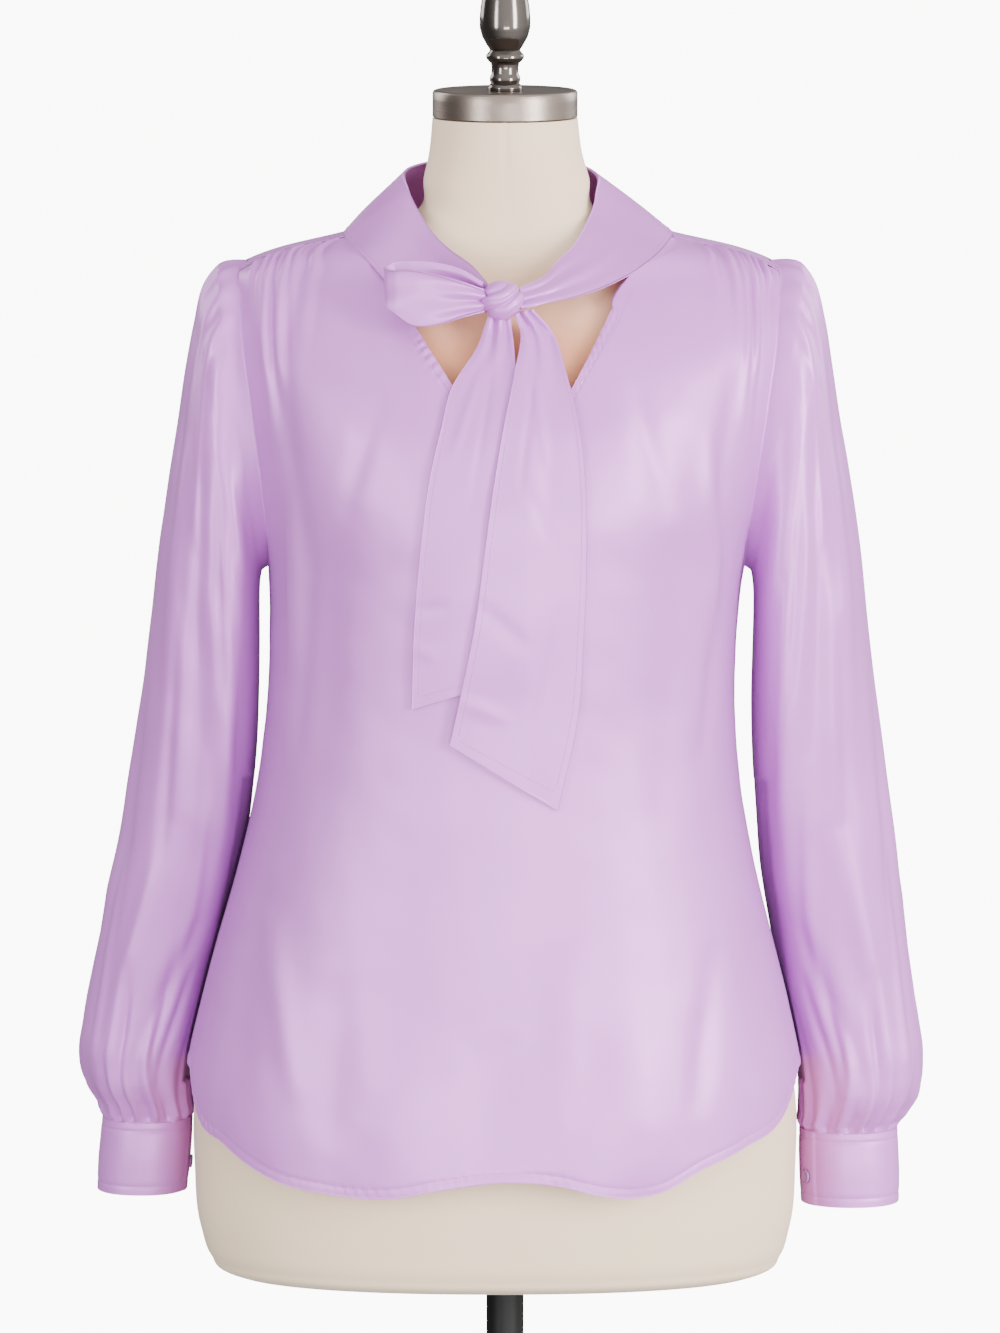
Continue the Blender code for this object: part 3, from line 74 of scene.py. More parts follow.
# Horizontal sections through the blouse's body: z, centre x, half width, depth in front, depth behind
BODY_SECTIONS = (
    (0.660, -0.0080, 0.2240, 0.1690, 0.1700),
    (0.770, -0.0080, 0.2215, 0.1650, 0.1660),
    (0.820, -0.0075, 0.2110, 0.1610, 0.1560),
    (0.870, -0.0070, 0.1980, 0.1580, 0.1460),
    (0.920, -0.0060, 0.1850, 0.1565, 0.1380),
    (0.985, -0.0045, 0.1725, 0.1560, 0.1310),
    (1.036, -0.0030, 0.1680, 0.1575, 0.1280),
    (1.080, -0.0015, 0.1675, 0.1610, 0.1265),
    (1.135, 0.0010, 0.1710, 0.1650, 0.1260),
    (1.200, 0.0025, 0.1855, 0.1660, 0.1250),
    (1.260, 0.0030, 0.1990, 0.1520, 0.1220),
    (1.300, 0.0030, 0.2060, 0.1300, 0.1160),
    (1.330, 0.0030, 0.2050, 0.1030, 0.1050),
    (1.349, 0.0028, 0.1960, 0.0850, 0.0920),
    (1.362, 0.0025, 0.1650, 0.0800, 0.0840),
    (1.373, 0.0022, 0.1180, 0.0750, 0.0780),
    (1.386, 0.0020, 0.0860, 0.0620, 0.0660),
    (1.400, 0.0020, 0.0500, 0.0400, 0.0400),
    (1.430, 0.0020, 0.0150, 0.0150, 0.0150),
)

# Horizontal sections through the dress form, with the same columns
FORM_SECTIONS = (
    (0.6200, -0.0065, 0.1900, 0.1060, 0.1200),
    (0.6230, -0.0065, 0.1985, 0.1140, 0.1280),
    (0.6320, -0.0067, 0.2060, 0.1220, 0.1370),
    (0.6520, -0.0070, 0.2130, 0.1290, 0.1460),
    (0.7000, -0.0072, 0.2175, 0.1350, 0.1540),
    (0.7450, -0.0072, 0.2175, 0.1350, 0.1550),
    (0.7800, -0.0072, 0.2120, 0.1320, 0.1510),
    (0.8200, -0.0070, 0.2020, 0.1280, 0.1420),
    (0.8700, -0.0065, 0.1870, 0.1220, 0.1280),
    (0.9200, -0.0060, 0.1740, 0.1170, 0.1160),
    (0.9850, -0.0045, 0.1610, 0.1130, 0.1050),
    (1.0360, -0.0030, 0.1560, 0.1150, 0.1020),
    (1.0800, -0.0015, 0.1570, 0.1240, 0.1040),
    (1.1350, 0.0010, 0.1610, 0.1440, 0.1090),
    (1.2000, 0.0020, 0.1700, 0.1560, 0.1120),
    (1.2600, 0.0025, 0.1800, 0.1410, 0.1100),
    (1.3000, 0.0028, 0.1880, 0.1170, 0.1040),
    (1.3250, 0.0030, 0.1890, 0.0940, 0.0960),
    (1.3420, 0.0028, 0.1830, 0.0740, 0.0850),
    (1.3520, 0.0027, 0.1740, 0.0640, 0.0780),
    (1.3607, 0.0025, 0.1630, 0.0560, 0.0720),
    (1.3717, 0.0022, 0.1160, 0.0470, 0.0650),
    (1.3785, 0.0018, 0.0820, 0.0450, 0.0620),
    (1.3900, 0.0015, 0.0640, 0.0445, 0.0590),
    (1.4130, 0.0010, 0.0592, 0.0465, 0.0565),
    (1.4300, 0.0004, 0.0550, 0.0495, 0.0545),
    (CAP_BOTTOM_Z - SEAM_GAP, 0.0000, NECK_RADIUS, NECK_RADIUS, NECK_RADIUS),
)

# The front's shirttail hem, seen from the front: x, z
FRONT_HEM = (
    (-0.2300, 0.7730),
    (-0.2230, 0.7490),
    (-0.2010, 0.7280),
    (-0.1675, 0.7080),
    (-0.1316, 0.7010),
    (-0.0817, 0.6990),
    (-0.0462, 0.7055),
    (-0.0036, 0.7110),
    (0.0390, 0.7085),
    (0.0674, 0.7010),
    (0.0958, 0.6985),
    (0.1101, 0.7010),
    (0.1390, 0.7150),
    (0.1718, 0.7280),
    (0.2022, 0.7485),
    (0.2141, 0.7730),
)

# The back's hem, a little lower: x, z
BACK_HEM = (
    (-0.2300, 0.7730),
    (-0.2100, 0.7400),
    (-0.1650, 0.7050),
    (-0.1000, 0.6880),
    (0.0000, 0.6840),
    (0.0900, 0.6880),
    (0.1500, 0.7050),
    (0.1950, 0.7400),
    (0.2141, 0.7730),
)

# Seams and edges round the front's top, seen from the front: x, z
NECK_LEFT = ((-0.0960, 1.3570), (-0.0800, 1.3390), (-0.0667, 1.3200))
SLIT_FOOT = (0.0070, 1.2150)
SLIT_LEFT = ((-0.0667, 1.3200), (-0.0368, 1.2765), (-0.0060, 1.2310), SLIT_FOOT)
SLIT_RIGHT = (SLIT_FOOT, (0.0210, 1.2340), (0.0479, 1.2765), (0.0873, 1.3490))
NECK_RIGHT = ((0.0873, 1.3490), (0.1010, 1.3575))
COLLAR_SEAM_LEFT_X = -0.1146
COLLAR_SEAM_RIGHT_X = 0.1193

# How a panel's columns share its top edge: stretch, its end, its columns on the flat chart
FRONT_STRETCHES = (
    ("yoke_left", 0.150, 21),
    ("neck_left", 0.260, 5),
    ("slit_left", 0.510, 5),
    ("slit_right", 0.790, 5),
    ("neck_right", 0.840, 5),
    ("yoke_right", 1.000, 21),
)
BACK_STRETCHES = (("yoke", 1.000, 16),)
SECTION_STEPS = 180
CHART_WIDTH = 0.50
EVENING_ROUNDS = 900

# Degrees round the armhole at which a row of the front or the back ends, above two rows on the side seam
FRONT_ROW_DEGREES = (-90, -78, -64, -48, -28, -6, 15, 33, 47, 57, 65)
BACK_ROW_DEGREES = (-90, -102, -116, -133, -153, -176, -196)
SIDE_SEAM_ROWS = 2

# Soft folds of the front, seen from the front: x and z at the top, x and z at the bottom, half width, height
FRONT_FOLDS = (
    (-0.1480, 1.2300, -0.1500, 0.9900, 0.0140, 0.0026),
    (-0.1200, 1.2000, -0.1300, 0.9600, 0.0150, -0.0020),
    (0.1480, 1.2200, 0.1380, 1.0200, 0.0140, 0.0026),
    (0.1200, 1.1700, 0.1130, 0.9400, 0.0150, -0.0020),
    (-0.1750, 0.9200, -0.1950, 0.7600, 0.0130, -0.0022),
    (0.1720, 0.9000, 0.1880, 0.7700, 0.0130, -0.0022),
    (-0.0820, 0.8300, -0.0850, 0.7000, 0.0300, 0.0040),
    (-0.0100, 0.8200, -0.0050, 0.7050, 0.0260, -0.0035),
    (0.0900, 0.8400, 0.0960, 0.7000, 0.0280, 0.0040),
)

# Soft folds of the back, with the same columns
BACK_FOLDS = (
    (-0.0900, 1.2700, -0.1050, 0.9500, 0.0160, 0.0025),
    (-0.0350, 1.2800, -0.0400, 0.9000, 0.0180, -0.0022),
    (0.0300, 1.2750, 0.0350, 0.9200, 0.0170, 0.0024),
    (0.0850, 1.2700, 0.0950, 0.9400, 0.0160, -0.0024),
    (-0.1300, 0.9800, -0.1500, 0.7400, 0.0200, 0.0032),
    (0.1250, 0.9600, 0.1450, 0.7300, 0.0200, 0.0030),
    (-0.0300, 0.9000, -0.0350, 0.7000, 0.0260, 0.0034),
    (0.0500, 0.8800, 0.0550, 0.7000, 0.0240, -0.0030),
)

# Neck edge of the yoke, from the left front seam round the back to the right one: x, y
YOKE_NECK = (
    (-0.1146, -0.0260),
    (-0.1140, 0.0080),
    (-0.0990, 0.0440),
    (-0.0600, 0.0690),
    (0.0020, 0.0772),
    (0.0620, 0.0690),
    (0.1020, 0.0440),
    (0.1185, 0.0080),
    (0.1193, -0.0260),
)

# The collar, from the knot's left side round the back to its right side
# The columns are the lower edge's x, y, z and the upper edge's x, y, z
COLLAR_STATIONS = (
    (-0.0130, -0.1150, 1.3270, -0.0120, -0.1100, 1.3460),
    (-0.0380, -0.1125, 1.3215, -0.0230, -0.0930, 1.3570),
    (-0.0668, -0.1115, 1.3205, -0.0390, -0.0720, 1.3670),
    (-0.0805, -0.1000, 1.3400, -0.0500, -0.0550, 1.3760),
    (-0.0965, -0.0720, 1.3580, -0.0610, -0.0320, 1.3900),
    (-0.1140, -0.0260, 1.3722, -0.0692, -0.0080, 1.4060),
    (-0.1135, 0.0090, 1.3738, -0.0717, 0.0120, 1.4160),
    (-0.0985, 0.0435, 1.3740, -0.0600, 0.0430, 1.4195),
    (-0.0600, 0.0685, 1.3740, -0.0350, 0.0620, 1.4210),
    (0.0020, 0.0768, 1.3740, 0.0010, 0.0690, 1.4215),
    (0.0620, 0.0685, 1.3740, 0.0360, 0.0620, 1.4200),
    (0.1015, 0.0435, 1.3740, 0.0580, 0.0430, 1.4170),
    (0.1180, 0.0090, 1.3736, 0.0662, 0.0110, 1.4125),
    (0.1188, -0.0260, 1.3715, 0.0650, -0.0090, 1.4035),
    (0.1012, -0.0700, 1.3580, 0.0595, -0.0340, 1.3860),
    (0.0876, -0.0820, 1.3500, 0.0520, -0.0560, 1.3735),
    (0.0520, -0.1060, 1.3370, 0.0370, -0.0790, 1.3590),
    (0.0270, -0.1150, 1.3325, 0.0250, -0.0960, 1.3480),
    (0.0105, -0.1185, 1.3290, 0.0100, -0.1120, 1.3430),
)

# The first and last station sewn to the neck, how far the collar stands out there, and its bulge
COLLAR_SEWN = (2, 15)
COLLAR_STAND_OUT = 0.0006
COLLAR_BULGE = 0.0015

# The bow loop, from the knot along the front layer and back along the rear one: x, y, lower z, upper z
LOOP_STATIONS = (
    (-0.0145, -0.1265, 1.3285, 1.3430),
    (-0.0290, -0.1310, 1.3250, 1.3485),
    (-0.0470, -0.1330, 1.3195, 1.3540),
    (-0.0660, -0.1325, 1.3185, 1.3580),
    (-0.0780, -0.1290, 1.3225, 1.3600),
    (-0.0840, -0.1235, 1.3265, 1.3612),
    (-0.0800, -0.1190, 1.3290, 1.3622),
    (-0.0660, -0.1180, 1.3290, 1.3630),
    (-0.0450, -0.1185, 1.3280, 1.3612),
    (-0.0290, -0.1190, 1.3290, 1.3560),
    (-0.0155, -0.1200, 1.3310, 1.3475),
)

# The tails, seen from the front: left x, left z, right x, right z, from the knot down
LONG_TAIL = (
    (0.0060, 1.3270, 0.0190, 1.3290),
    (0.0112, 1.3141, 0.0324, 1.3141),
    (0.0070, 1.2873, 0.0430, 1.2859),
    (-0.0008, 1.2503, 0.0527, 1.2468),
    (-0.0071, 1.2130, 0.0569, 1.2059),
    (-0.0141, 1.1640, 0.0576, 1.1570),
    (-0.0212, 1.1103, 0.0556, 1.0997),
    (-0.0304, 1.0636, 0.0521, 1.0458),
    (-0.0389, 1.0238, 0.0374, 0.9761),
)
SHORT_TAIL = (
    (-0.0115, 1.3240, 0.0030, 1.3225),
    (-0.0191, 1.3036, 0.0060, 1.3030),
    (-0.0367, 1.2772, 0.0080, 1.2800),
    (-0.0451, 1.2468, 0.0095, 1.2500),
    (-0.0528, 1.2128, 0.0100, 1.2180),
    (-0.0578, 1.1776, 0.0105, 1.1850),
    (-0.0613, 1.1422, 0.0108, 1.1530),
    (-0.0642, 1.0994, 0.0112, 1.1120),
    (-0.0657, 1.0480, 0.0115, 1.0735),
)
TAIL_NEAREST_Y = -0.1200
SHORT_TAIL_OFFSET = 0.0026
LONG_TAIL_OFFSET = 0.0052
LONG_TAIL_SETTLE = (0.014, 0.034)

# Sections of the sleeves, from just outside the armhole to the gathers above the cuff
# The columns are outer x, outer z, inner x, inner z, centre y and half depth
LEFT_SLEEVE = (
    (-0.2065, 1.3475, -0.1752, 1.1300, -0.0035, 0.0680),
    (-0.2155, 1.3340, -0.1762, 1.1240, -0.0025, 0.0710),
    (-0.2225, 1.3080, -0.1768, 1.1150, -0.0010, 0.0740),
    (-0.2290, 1.2750, -0.1770, 1.1030, 0.0010, 0.0755),
    (-0.2345, 1.2400, -0.1770, 1.0870, 0.0040, 0.0760),
    (-0.2420, 1.1930, -0.1772, 1.0650, 0.0080, 0.0755),
    (-0.2490, 1.1450, -0.1778, 1.0380, 0.0130, 0.0745),
    (-0.2548, 1.0950, -0.1790, 1.0080, 0.0190, 0.0730),
    (-0.2620, 1.0400, -0.1815, 0.9780, 0.0260, 0.0715),
    (-0.2700, 0.9900, -0.1850, 0.9480, 0.0330, 0.0700),
    (-0.2784, 0.9384, -0.1910, 0.9150, 0.0400, 0.0690),
    (-0.2895, 0.8873, -0.2000, 0.8780, 0.0460, 0.0680),
    (-0.2990, 0.8361, -0.2125, 0.8330, 0.0500, 0.0670),
    (-0.3060, 0.7980, -0.2215, 0.7960, 0.0500, 0.0650),
    (-0.3085, 0.7740, -0.2270, 0.7730, 0.0480, 0.0620),
    (-0.3035, 0.7520, -0.2295, 0.7530, 0.0450, 0.0550),
    (-0.2940, 0.7380, -0.2300, 0.7400, 0.0420, 0.0450),
)
RIGHT_SLEEVE = (
    (0.2140, 1.3480, 0.1772, 1.1300, -0.0035, 0.0680),
    (0.2215, 1.3360, 0.1782, 1.1240, -0.0025, 0.0710),
    (0.2285, 1.3120, 0.1790, 1.1150, -0.0010, 0.0740),
    (0.2345, 1.2780, 0.1792, 1.1030, 0.0010, 0.0755),
    (0.2400, 1.2420, 0.1790, 1.0870, 0.0040, 0.0760),
    (0.2485, 1.1930, 0.1785, 1.0650, 0.0080, 0.0755),
    (0.2555, 1.1450, 0.1780, 1.0380, 0.0130, 0.0745),
    (0.2608, 1.0950, 0.1785, 1.0080, 0.0190, 0.0730),
    (0.2675, 1.0400, 0.1800, 0.9780, 0.0260, 0.0715),
    (0.2745, 0.9900, 0.1820, 0.9480, 0.0330, 0.0700),
    (0.2815, 0.9384, 0.1850, 0.9150, 0.0400, 0.0690),
    (0.2880, 0.8873, 0.1905, 0.8780, 0.0460, 0.0680),
    (0.2945, 0.8361, 0.1985, 0.8330, 0.0500, 0.0670),
    (0.3000, 0.7980, 0.2060, 0.7960, 0.0500, 0.0650),
    (0.3030, 0.7700, 0.2120, 0.7680, 0.0480, 0.0620),
    (0.2995, 0.7440, 0.2150, 0.7450, 0.0450, 0.0550),
    (0.2900, 0.7290, 0.2160, 0.7300, 0.0420, 0.0450),
)

# The cuffs: top edge's centre x and z, lower edge's centre x and z, half width, half depth, centre y
CUFFS = {
    "left": (-0.2603, 0.7270, -0.2645, 0.6735, 0.0315, 0.0400, 0.0420),
    "right": (0.2500, 0.7190, 0.2515, 0.6645, 0.0345, 0.0400, 0.0420),
}
CUFF_SHARE_OF_BUTTON = 0.62
CUFF_BUTTON_ANGLE = {"left": 172.0, "right": 148.0}

# How far the middle of a sleeve's cloth stays from the middle of the body's, down to the hem
SLEEVE_CLEARANCE = 0.0032
SLEEVE_FREE_BELOW_Z = 0.755

# Gathers and folds of the sleeves
HEAD_GATHERS = 9
HEAD_SPREAD_DEGREES = 75.0
HEAD_GATHER_HEIGHT = 0.0022
CUFF_GATHERS = 17
CUFF_GATHER_HEIGHT = 0.0018

# The shares of a sleeve's length at which its table starts and ends, and the rings at its foot:
# share of the length, height above the foot, how much wider and how much deeper than the cuff
SLEEVE_TABLE_SHARES = (0.012, 0.984)
SLEEVE_FOOT_RINGS = ((0.992, 0.0050, 0.0010, 0.0015), (1.000, 0.0, 0.0, 0.0))

# Folds of the sleeves: start degree and share of length, end degree and share of length, half width, height
# 0 degrees is the outer side, 90 the front and 180 the side towards the body
SLEEVE_FOLDS = (
    (35.0, 0.06, 62.0, 0.52, 0.0100, 0.0030),
    (70.0, 0.08, 95.0, 0.60, 0.0110, -0.0032),
    (105.0, 0.20, 128.0, 0.78, 0.0120, 0.0034),
    (18.0, 0.45, 42.0, 0.90, 0.0110, -0.0026),
    (80.0, 0.62, 64.0, 0.93, 0.0100, 0.0030),
    (118.0, 0.74, 96.0, 0.95, 0.0090, -0.0030),
    (150.0, 0.30, 160.0, 0.85, 0.0120, -0.0024),
    (220.0, 0.15, 236.0, 0.70, 0.0130, 0.0030),
    (262.0, 0.20, 282.0, 0.80, 0.0120, -0.0030),
    (305.0, 0.12, 318.0, 0.62, 0.0120, 0.0028),
    (248.0, 0.70, 232.0, 0.95, 0.0100, 0.0030),
    (330.0, 0.60, 312.0, 0.92, 0.0110, -0.0026),
)

# Turned profiles: radius, height above the piece's foot
CAP_PROFILE = (
    (0.0000, 0.0000),
    (0.0505, 0.0000),
    (0.0520, 0.0010),
    (0.0520, 0.0180),
    (0.0512, 0.0194),
    (0.0496, 0.0200),
    (0.0478, 0.0196),
    (0.0462, 0.0192),
    (0.0000, 0.0192),
)
FINIAL_PROFILE = (
    (0.0000, 0.0000),
    (0.0123, 0.0000),
    (0.0125, 0.0022),
    (0.0116, 0.0038),
    (0.0102, 0.0050),
    (0.0110, 0.0072),
    (0.0110, 0.0092),
    (0.0098, 0.0118),
    (0.0096, 0.0160),
    (0.0102, 0.0195),
    (0.0122, 0.0212),
    (0.0136, 0.0232),
    (0.0136, 0.0252),
    (0.0120, 0.0272),
    (0.0108, 0.0288),
    (0.0132, 0.0325),
    (0.0165, 0.0385),
    (0.0182, 0.0450),
    (0.0182, 0.0520),
    (0.0176, 0.0590),
    (0.0164, 0.0670),
    (0.0144, 0.0750),
    (0.0114, 0.0820),
    (0.0070, 0.0872),
    (0.0000, 0.0890),
)
BUTTON_PROFILE = (
    (0.0000, 0.0000),
    (0.0040, 0.0000),
    (0.0047, 0.0003),
    (0.0050, 0.0009),
    (0.0048, 0.0015),
    (0.0043, 0.0018),
    (0.0037, 0.0017),
    (0.0032, 0.0013),
    (0.0026, 0.0011),
    (0.0000, 0.0011),
)
BASE_PROFILE = (
    (0.0000, 0.0000),
    (BASE_RADIUS - 0.0020, 0.0000),
    (BASE_RADIUS, 0.0020),
    (BASE_RADIUS, 0.0060),
    (BASE_RADIUS - 0.0030, 0.0085),
    (0.1000, 0.0115),
    (0.0300, BASE_HEIGHT),
    (0.0000, BASE_HEIGHT),
)


class Table:
    """Smooth lines through a table's rows. The first column is the place, the others are values."""

    def __init__(self, rows):
        rows = np.array(sorted(rows), float)
        self.at = rows[:, 0]
        self.values = rows[:, 1:]
        step = np.diff(self.at)[:, None]
        slope = np.diff(self.values, axis=0) / step
        inner = (slope[:-1] * step[1:] + slope[1:] * step[:-1]) / (step[1:] + step[:-1])
        self.tangent = np.vstack([slope[:1], inner, slope[-1:]])

    def __call__(self, place):
        place = np.clip(np.asarray(place, float), self.at[0], self.at[-1])
        i = np.clip(np.searchsorted(self.at, place) - 1, 0, len(self.at) - 2)
        step = (self.at[i + 1] - self.at[i])[..., None]
        t = (place - self.at[i])[..., None] / step
        return (
            self.values[i] * (1 + 2 * t) * (1 - t) ** 2
            + self.values[i + 1] * (3 - 2 * t) * t**2
            + self.tangent[i] * step * t * (1 - t) ** 2
            - self.tangent[i + 1] * step * (1 - t) * t**2
        )


def lengths(points):
    """How far along a line of points each of them lies."""
    return np.concatenate([[0], np.cumsum(np.linalg.norm(np.diff(points, axis=0), axis=1))])


def from_ends(places):
    """How far shares from 0 to 1 are from the nearer end."""
    return np.minimum(places, 1 - places)


def full_section(turn, power=2 / SECTION_POWER):
    """A round section with fuller corners, as its cosine and sine."""
    wide = np.sign(np.cos(turn)) * np.abs(np.cos(turn)) ** power
    deep = np.sign(np.sin(turn)) * np.abs(np.sin(turn)) ** power
    return wide, deep


def along(points):
    """A smooth line through points, called with a share of its length from 0 to 1."""
    points = np.array(points, float)
    length = lengths(points)
    return Table(np.column_stack([length / length[-1], points]).tolist())


body = Table(BODY_SECTIONS)
form = Table(FORM_SECTIONS)

# Heights up the flat chart of a panel, measured along the body's side and over its shoulder
CHART_Z = np.linspace(WAIST_Z, BODY_SECTIONS[-1][0], 200)
CHART_UP = np.concatenate([[0], np.cumsum(np.hypot(np.diff(CHART_Z), np.diff(body(CHART_Z)[:, 1])))])


def level(points):
    """Below zero inside the blouse's body, zero on it and above zero outside."""
    centre, half, front, back = np.moveaxis(body(points[..., 2]), -1, 0)
    depth = np.where(points[..., 1] < 0, front, back)
    across = np.abs((points[..., 0] - centre) / half) ** SECTION_POWER
    return across + np.abs(points[..., 1] / depth) ** SECTION_POWER - 1


def on_body(points):
    """Moves points onto the blouse's body, along rays from a core inside it."""
    core = np.stack(
        [0.55 * points[..., 0], 0 * points[..., 1], np.minimum(points[..., 2], CORE_TOP_Z)], -1
    )
    ray = points - core
    low = np.zeros(points.shape[:-1] + (1,))
    high = low + 2.5
    for _ in range(36):
        middle = (low + high) / 2
        inside = level(core + middle * ray)[..., None] < 0
        low = np.where(inside, middle, low)
        high = np.where(inside, high, middle)
    return core + middle * ray


def height_at(x, y):
    """The height of the body's top over a place seen from above."""
    x, y = np.broadcast_arrays(np.asarray(x, float), np.asarray(y, float))
    low = np.full(x.shape, 1.20)
    high = np.full(x.shape, 1.43)
    for _ in range(36):
        middle = (low + high) / 2
        inside = level(np.stack([x, y, middle], -1)) < 0
        low = np.where(inside, middle, low)
        high = np.where(inside, high, middle)
    return middle


def depth_at(x, z, side):
    """y of the body's front (side -1) or back (side 1) at a place seen from the front."""
    centre, half, front, back = np.moveaxis(body(z), -1, 0)
    rest = np.clip(1 - np.abs((x - centre) / half) ** SECTION_POWER, 0, None)
    return side * np.where(side < 0, front, back) * rest ** (1 / SECTION_POWER)


def body_normals(points):
    """Outward directions of the body's surface."""
    step = 0.0005
    gradient = np.stack(
        [level(points + step * axis) - level(points - step * axis) for axis in np.eye(3)], -1
    )
    return gradient / np.linalg.norm(gradient, axis=-1, keepdims=True)


def clear_of_body(points):
    """Moves a sleeve's points out until they are clear of the body's cloth."""
    step = 0.0005
    gradient = np.stack(
        [level(points + step * axis) - level(points - step * axis) for axis in np.eye(3)], -1
    ) / (2 * step)
    steepness = np.linalg.norm(gradient, axis=-1)
    distance = level(points) / steepness
    push = np.where(points[:, 2] > SLEEVE_FREE_BELOW_Z, np.clip(SLEEVE_CLEARANCE - distance, 0, None), 0)
    return points + gradient / steepness[:, None] * push[:, None]


def fold_heights(folds, x, z):
    """How far soft folds lift a surface at x and z, fading along each fold and across it."""
    total = np.zeros(np.broadcast(x, z).shape)
    for x0, z0, x1, z1, half_width, height in folds:
        run = np.hypot(x1 - x0, z1 - z0)
        t = ((x - x0) * (x1 - x0) + (z - z0) * (z1 - z0)) / run**2
        away = ((x - x0) * (z1 - z0) - (z - z0) * (x1 - x0)) / run
        fade = np.sin(np.pi * np.clip(t, 0, 1)) ** 0.8
        total = total + height * fade * np.exp(-((away / half_width) ** 2))
    return total


def armhole(side, degrees, inset=0.0):
    """Points of an armhole: 0 degrees is its front, 90 the shoulder, 180 the back, -90 the underarm."""
    turn = np.radians(degrees)
    y = ARMHOLE_Y - (ARMHOLE_HALF_DEPTH - inset) * np.cos(turn)
    z = ARMHOLE_Z + (ARMHOLE_HALF_HEIGHT - inset) * np.sin(turn)
    centre, half, front, back = np.moveaxis(body(z), -1, 0)
    rest = 1 - np.abs(y / np.where(y < 0, front, back)) ** SECTION_POWER
    return np.stack([centre + side * half * rest ** (1 / SECTION_POWER), y, z], -1)


def armhole_degree(y=None, z=None):
    """The degree at which the armhole's front meets a depth y, or its back a height z."""
    if y is not None:
        return math.degrees(math.acos((ARMHOLE_Y - y) / ARMHOLE_HALF_DEPTH))
    return 180 - math.degrees(math.asin((z - ARMHOLE_Z) / ARMHOLE_HALF_HEIGHT))


def plan_points(places):
    """Points of the body's top from places seen from above."""
    x, y = np.array(places, float).T
    return np.stack([x, y, height_at(x, y)], -1)


def view_points(places, side=-1):
    """Points of the body from places seen from the front."""
    x, z = np.array(places, float).T
    return np.stack([x, depth_at(x, z, side), z], -1)


def front_edges():
    """The front's side edges and the stretches of its top edge, each called with a share from 0 to 1."""
    top = armhole_degree(y=YOKE_FRONT_Y)
    seam_y = YOKE_FRONT_Y - EDGE_INSET
    left_x = np.linspace(armhole(-1, top, -EDGE_INSET)[0], COLLAR_SEAM_LEFT_X, 5)
    right_x = np.linspace(COLLAR_SEAM_RIGHT_X, armhole(1, top, -EDGE_INSET)[0], 5)
    left_seam = plan_points([(x, seam_y) for x in left_x])
    right_seam = plan_points([(x, seam_y) for x in right_x])
    neck_left = np.vstack([left_seam[-1:], view_points(NECK_LEFT)])
    neck_right = np.vstack([view_points(NECK_RIGHT), right_seam[:1]])
    return [*FRONT_ROW_DEGREES, top], {
        "yoke_left": along(left_seam),
        "neck_left": along(neck_left),
        "slit_left": along(view_points(SLIT_LEFT)),
        "slit_right": along(view_points(SLIT_RIGHT)),
        "neck_right": along(neck_right),
        "yoke_right": along(right_seam),
    }


def back_edges():
    """The degrees at which the back's rows end, and its top edge."""
    top = armhole_degree(z=BACK_YOKE_Z - EDGE_INSET) - 360
    left = armhole(-1, top, -EDGE_INSET)
    right = armhole(1, top, -EDGE_INSET)
    seam_x = np.linspace(left[0], right[0], 13)
    seam = view_points([(x, BACK_YOKE_Z - EDGE_INSET) for x in seam_x], 1)
    seam[0] = left
    seam[-1] = right
    return [*BACK_ROW_DEGREES, top], {"yoke": along(seam)}


def section_line(z, side):
    """A level section's front or back half from the left: points x, y and shares of its length."""
    centre, half, front, back = np.moveaxis(body(z), -1, 0)
    depth = np.where(side < 0, front, back)
    turn = np.linspace(0, np.pi, SECTION_STEPS + 1)
    power = 2 / SECTION_POWER
    x = centre - half * np.sign(np.cos(turn)) * np.abs(np.cos(turn)) ** power
    y = side * depth * np.sin(turn) ** power
    length = np.concatenate([[0], np.cumsum(np.hypot(np.diff(x), np.diff(y)))])
    return x, y, length / length[-1]


def section_point(z, share, side):
    """A point of a level section, at a share of its width round the front or the back from the left."""
    x, y, shares = section_line(z, side)
    return np.array([np.interp(share, shares, x), np.interp(share, shares, y), z])


def chart_place(point, side):
    """Where a point of the body lies on the panel's flat chart: metres across and metres up."""
    _, _, shares = section_line(point[2], side)
    centre, half, front, back = body(point[2])
    across = (centre - point[0]) / half
    deep = max(side * point[1] / (front if side < 0 else back), 0)
    power = SECTION_POWER / 2
    turn = np.arctan2(deep**power, np.sign(across) * abs(across) ** power)
    share = np.interp(turn, np.linspace(0, np.pi, SECTION_STEPS + 1), shares)
    return share * CHART_WIDTH, np.interp(point[2], CHART_Z, CHART_UP)


def evened(grid, row_places, column_places):
    """Spaces out the inner points of a flat grid so that no row or column crosses another."""
    row_step, column_step = np.diff(row_places), np.diff(column_places)
    below, above = row_step[:-1, None, None], row_step[1:, None, None]
    left, right = column_step[None, :-1, None], column_step[None, 1:, None]
    for _ in range(EVENING_ROUNDS):
        up = (grid[2:, 1:-1] - grid[:-2, 1:-1]) / (below + above)
        over = (grid[1:-1, 2:] - grid[1:-1, :-2]) / (left + right)
        twist = grid[2:, 2:] - grid[2:, :-2] - grid[:-2, 2:] + grid[:-2, :-2]
        twist = twist / ((below + above) * (left + right))
        up_size = np.sum(up * up, axis=2, keepdims=True)
        over_size = np.sum(over * over, axis=2, keepdims=True)
        skew = np.sum(up * over, axis=2, keepdims=True)
        total = over_size * 2 * (grid[2:, 1:-1] / above + grid[:-2, 1:-1] / below) / (below + above)
        total = total + up_size * 2 * (grid[1:-1, 2:] / right + grid[1:-1, :-2] / left) / (left + right)
        weight = over_size * 2 / (above * below) + up_size * 2 / (left * right)
        grid[1:-1, 1:-1] = (total - 2 * skew * twist) / weight
    return grid


